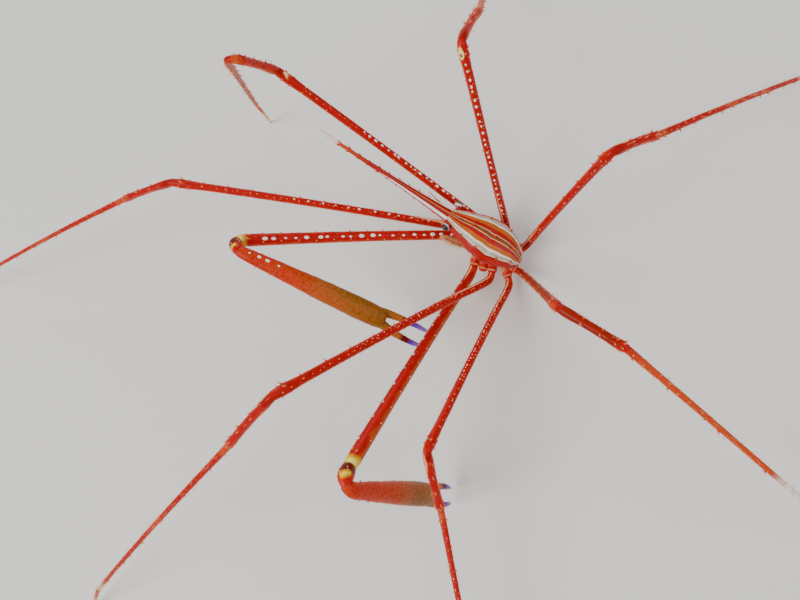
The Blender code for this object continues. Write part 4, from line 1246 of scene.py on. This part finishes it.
def dress_cheliped(side_name):
    name = f"cheliped_{side_name}"
    limb = (side_name, 0)
    ways = [heading(*turn) for turn in CHELIPED_POSE[side_name]]
    row = Row(70 + (side_name == "left"))
    extra = Row(270 + (side_name == "left"))
    out = coxa_way(limb)
    start = hip(limb) + out * GAP
    elbow = start + ways[0] * CHELIPED_MERUS[side_name]
    wrist = elbow + ways[1] * CHELIPED_CARPUS[side_name]
    to_elbow, from_elbow, elbow_way = turn_at(elbow, ways[0], ways[1], ELBOW_ROUND)
    to_wrist, from_wrist, wrist_way = turn_at(wrist, ways[1], ways[2], ELBOW_ROUND)

    first = hip_turn(start, out, ways[0])
    path = first + between(first[-1], to_elbow[0], 0.01 * (elbow - start).length, 5) + to_elbow
    shape = Shape()
    made = grow_tube(shape, path, ARM_SHAPE, CHELIPED_RADIUS, (out, elbow_way), sides=ARM_SIDES,
                     faced=True)
    set_spines(shape, made, spaced(0.14, 0.76, 11), (40, 300), HAND_SPINE, row)
    set_spines(shape, made, [0.95], (20, 340), KNEE_SPINE, row, 0.9)
    set_spines(shape, made, spaced(0.06, 0.88, 46), (110, 200, 250), ARM_SMALL, extra, 0.5)
    outer = turn_towards(made, DOT_WAY)
    if side_name == "right":
        set_dots(shape, made, 20, (0.08, 0.90), outer, extra, ARM_DOT_RADIUS, 4)
    else:
        set_dots(shape, made, 12, (0.10, 0.90), outer + 60, extra, 0.6 * ARM_DOT_RADIUS, 8)
    set_bristles(shape, made, 60, (0.2, 0.98), extra, ARM_BRISTLE)
    shape.piece(name + "_arm", ARM_PAINT[side_name], [name + "_merus"])

    shape = Shape()
    made = grow_tube(shape, from_elbow + to_wrist, WRIST_SHAPE, CHELIPED_RADIUS,
                     (elbow_way, wrist_way), sides=ARM_SIDES, step=FINE_STEP, faced=True)
    set_spines(shape, made, (0.45, 0.6), (30, 330), HAND_SPINE, row)
    set_spines(shape, made, (0.2, 0.4, 0.6, 0.8), (90, 200, 270), WRIST_SMALL, extra, 0.4)
    shape.piece(name + "_joint", WRIST_PAINT, [name + "_carpus"])

    way = ways[2]
    gape = (UP.cross(way) if side_name == "left" else way.cross(UP)).normalized()
    end = from_wrist[-1] + way * PALM_LENGTH[side_name]
    shares = (0.12, 0.30, 0.50, 0.70, 0.86, 0.95, 1.0)
    path = from_wrist + [from_wrist[-1].lerp(end, share) for share in shares]
    shape = Shape()
    made = grow_tube(shape, path, PALM_SHAPE, PALM_HALF_DEPTH, (wrist_way, way), gape,
                     flat=PALM_FLATNESS, domes=(LOW_DOME, 0.30), rough=0.03, sides=PALM_SIDES)
    set_spines(shape, made, spaced(0.12, 0.78, 8), (20, 160, 340), PALM_SPINE, row)
    if side_name == "right":
        turn = turn_towards(made, DOT_WAY) - 28
        set_dots(shape, made, 4, (0.05, 0.24), turn, extra, PALM_DOT_RADIUS, 4)
    set_spines(shape, made, spaced(0.08, 0.88, 40), range(0, 360, 45), PALM_SMALL, extra, 0.5)
    set_bristles(shape, made, 90, (0.3, 1.0), extra, PALM_BRISTLE)
    root = end - way * (1.6 * MM) - gape * (0.50 * PALM_HALF_DEPTH)
    tip = end + way * FINGER_LENGTH[side_name] - gape * FINGER_GAPE
    grow_finger(shape, root, tip, -gape, None, way, extra)
    shape.piece(name + "_hand", PALM_PAINT, [name + "_palm"])

    shape = Shape()
    root = end + way * GAP + gape * (0.42 * PALM_HALF_DEPTH)
    tip = end + way * FINGER_LENGTH[side_name] + gape * FINGER_GAPE
    grow_finger(shape, root, tip, gape, way, way, extra)
    shape.piece(name + "_thumb", PALM_PAINT, [name + "_finger"])


def grow_finger(shape, root, tip, bow, plane, way, row):
    """A tapered finger, a row of blunt teeth on its inner edge and hairs round it."""
    path = []
    for i in range(9):
        t = i / 8
        path.append(root.lerp(tip, t) + bow * (FINGER_BOW * 4 * t * (1 - t)))
    sizes = [(0, 1.30), (0.12, 1.26), (0.25, 1.10), (0.5, 0.84), (0.67, 0.72), (0.83, 0.55), (1, 0.30)]
    before = len(shape.facts)
    made = grow_tube(shape, path, sizes, FINGER_RADIUS, (plane or way, None), bow,
                     domes=(0.5 if plane else 0, 0.7), rough=0.03, step=0.35 * MM)
    for i in range(14):
        tooth_root, out, _, _ = on_tube(made, 0.16 + 0.76 * i / 13, 180)
        grow_dot(shape, tooth_root, out, row.vary(TOOTH_RADIUS, 0.3), 0.5)
    fingers = shape.facts[before:]
    shape.facts[before:] = [(along, girth, FINGER_TONE) for along, girth, _ in fingers]
    set_bristles(shape, made, 40, (0.1, 0.95), row, FINGER_BRISTLE)


dress_carapace()
dress_rostrum()
dress_eyes()
dress_mouth()
dress_trunk()
for limb in LEG_POSE:
    dress_leg(limb)
for side_name, _ in SIDES:
    dress_cheliped(side_name)


def stage_paint():
    paint = Paint("floor", roughness=0.85, coat=0.0, subsurface=0.0)
    return paint.finish(paint.mix(FLOOR_DULL, FLOOR_PALE, paint.noise(6.0)))


FLOOR_HALF = 3.0


def set_stage():
    mesh = bpy.data.meshes.new("stage_floor")
    corners = [(-1, -1), (1, -1), (1, 1), (-1, 1)]
    mesh.from_pydata([(x * FLOOR_HALF, y * FLOOR_HALF, 0) for x, y in corners], [], [(0, 1, 2, 3)])
    mesh.materials.append(stage_paint())
    floor = bpy.data.objects.new("stage_floor", mesh)
    bpy.context.scene.collection.objects.link(floor)


def light(name, place, size, power, tint=(1, 1, 1)):
    data = bpy.data.lights.new(name, "AREA")
    data.size = size
    data.energy = power
    data.color = tint
    lamp = bpy.data.objects.new(name, data)
    bpy.context.scene.collection.objects.link(lamp)
    lamp.location = place
    lamp.rotation_euler = (Vector((0, 0, 0.01)) - Vector(place)).to_track_quat("-Z", "Y").to_euler()


def set_lights():
    light("key", (0.10, 0.42, 0.62), 0.45, 5.5, (1.0, 0.98, 0.95))
    light("fill", (-0.55, -0.25, 0.45), 0.7, 2.4, (0.95, 0.97, 1.0))
    light("rim", (0.45, -0.50, 0.40), 0.5, 2.4)
    world = bpy.context.scene.world or bpy.data.worlds.new("world")
    bpy.context.scene.world = world
    world.use_nodes = True
    back = world.node_tree.nodes["Background"]
    back.inputs["Color"].default_value = (0.92, 0.94, 0.96, 1)
    back.inputs["Strength"].default_value = 0.30


CAMERA_PLACE = Vector((-51.2, 32.3, 130.3)) * MM
CAMERA_LOOK = Vector((0.4498, -0.0912, -0.8885))
CAMERA_UP = Vector((0.4312, -0.849, 0.3055))
LENS_MM = 27.9
SENSOR_MM = 36.0


def set_camera():
    data = bpy.data.cameras.new("photo_camera")
    data.lens = LENS_MM
    data.sensor_width = SENSOR_MM
    data.clip_start = 0.002
    data.clip_end = 20.0
    camera = bpy.data.objects.new("photo_camera", data)
    bpy.context.scene.collection.objects.link(camera)
    back = -CAMERA_LOOK.normalized()
    right = CAMERA_UP.cross(back).normalized()
    up = back.cross(right)
    turn = Matrix((right, up, back)).transposed().to_4x4()
    camera.matrix_world = Matrix.Translation(CAMERA_PLACE + ORIGIN_SHIFT) @ turn
    bpy.context.scene.camera = camera


set_stage()
set_lights()
set_camera()
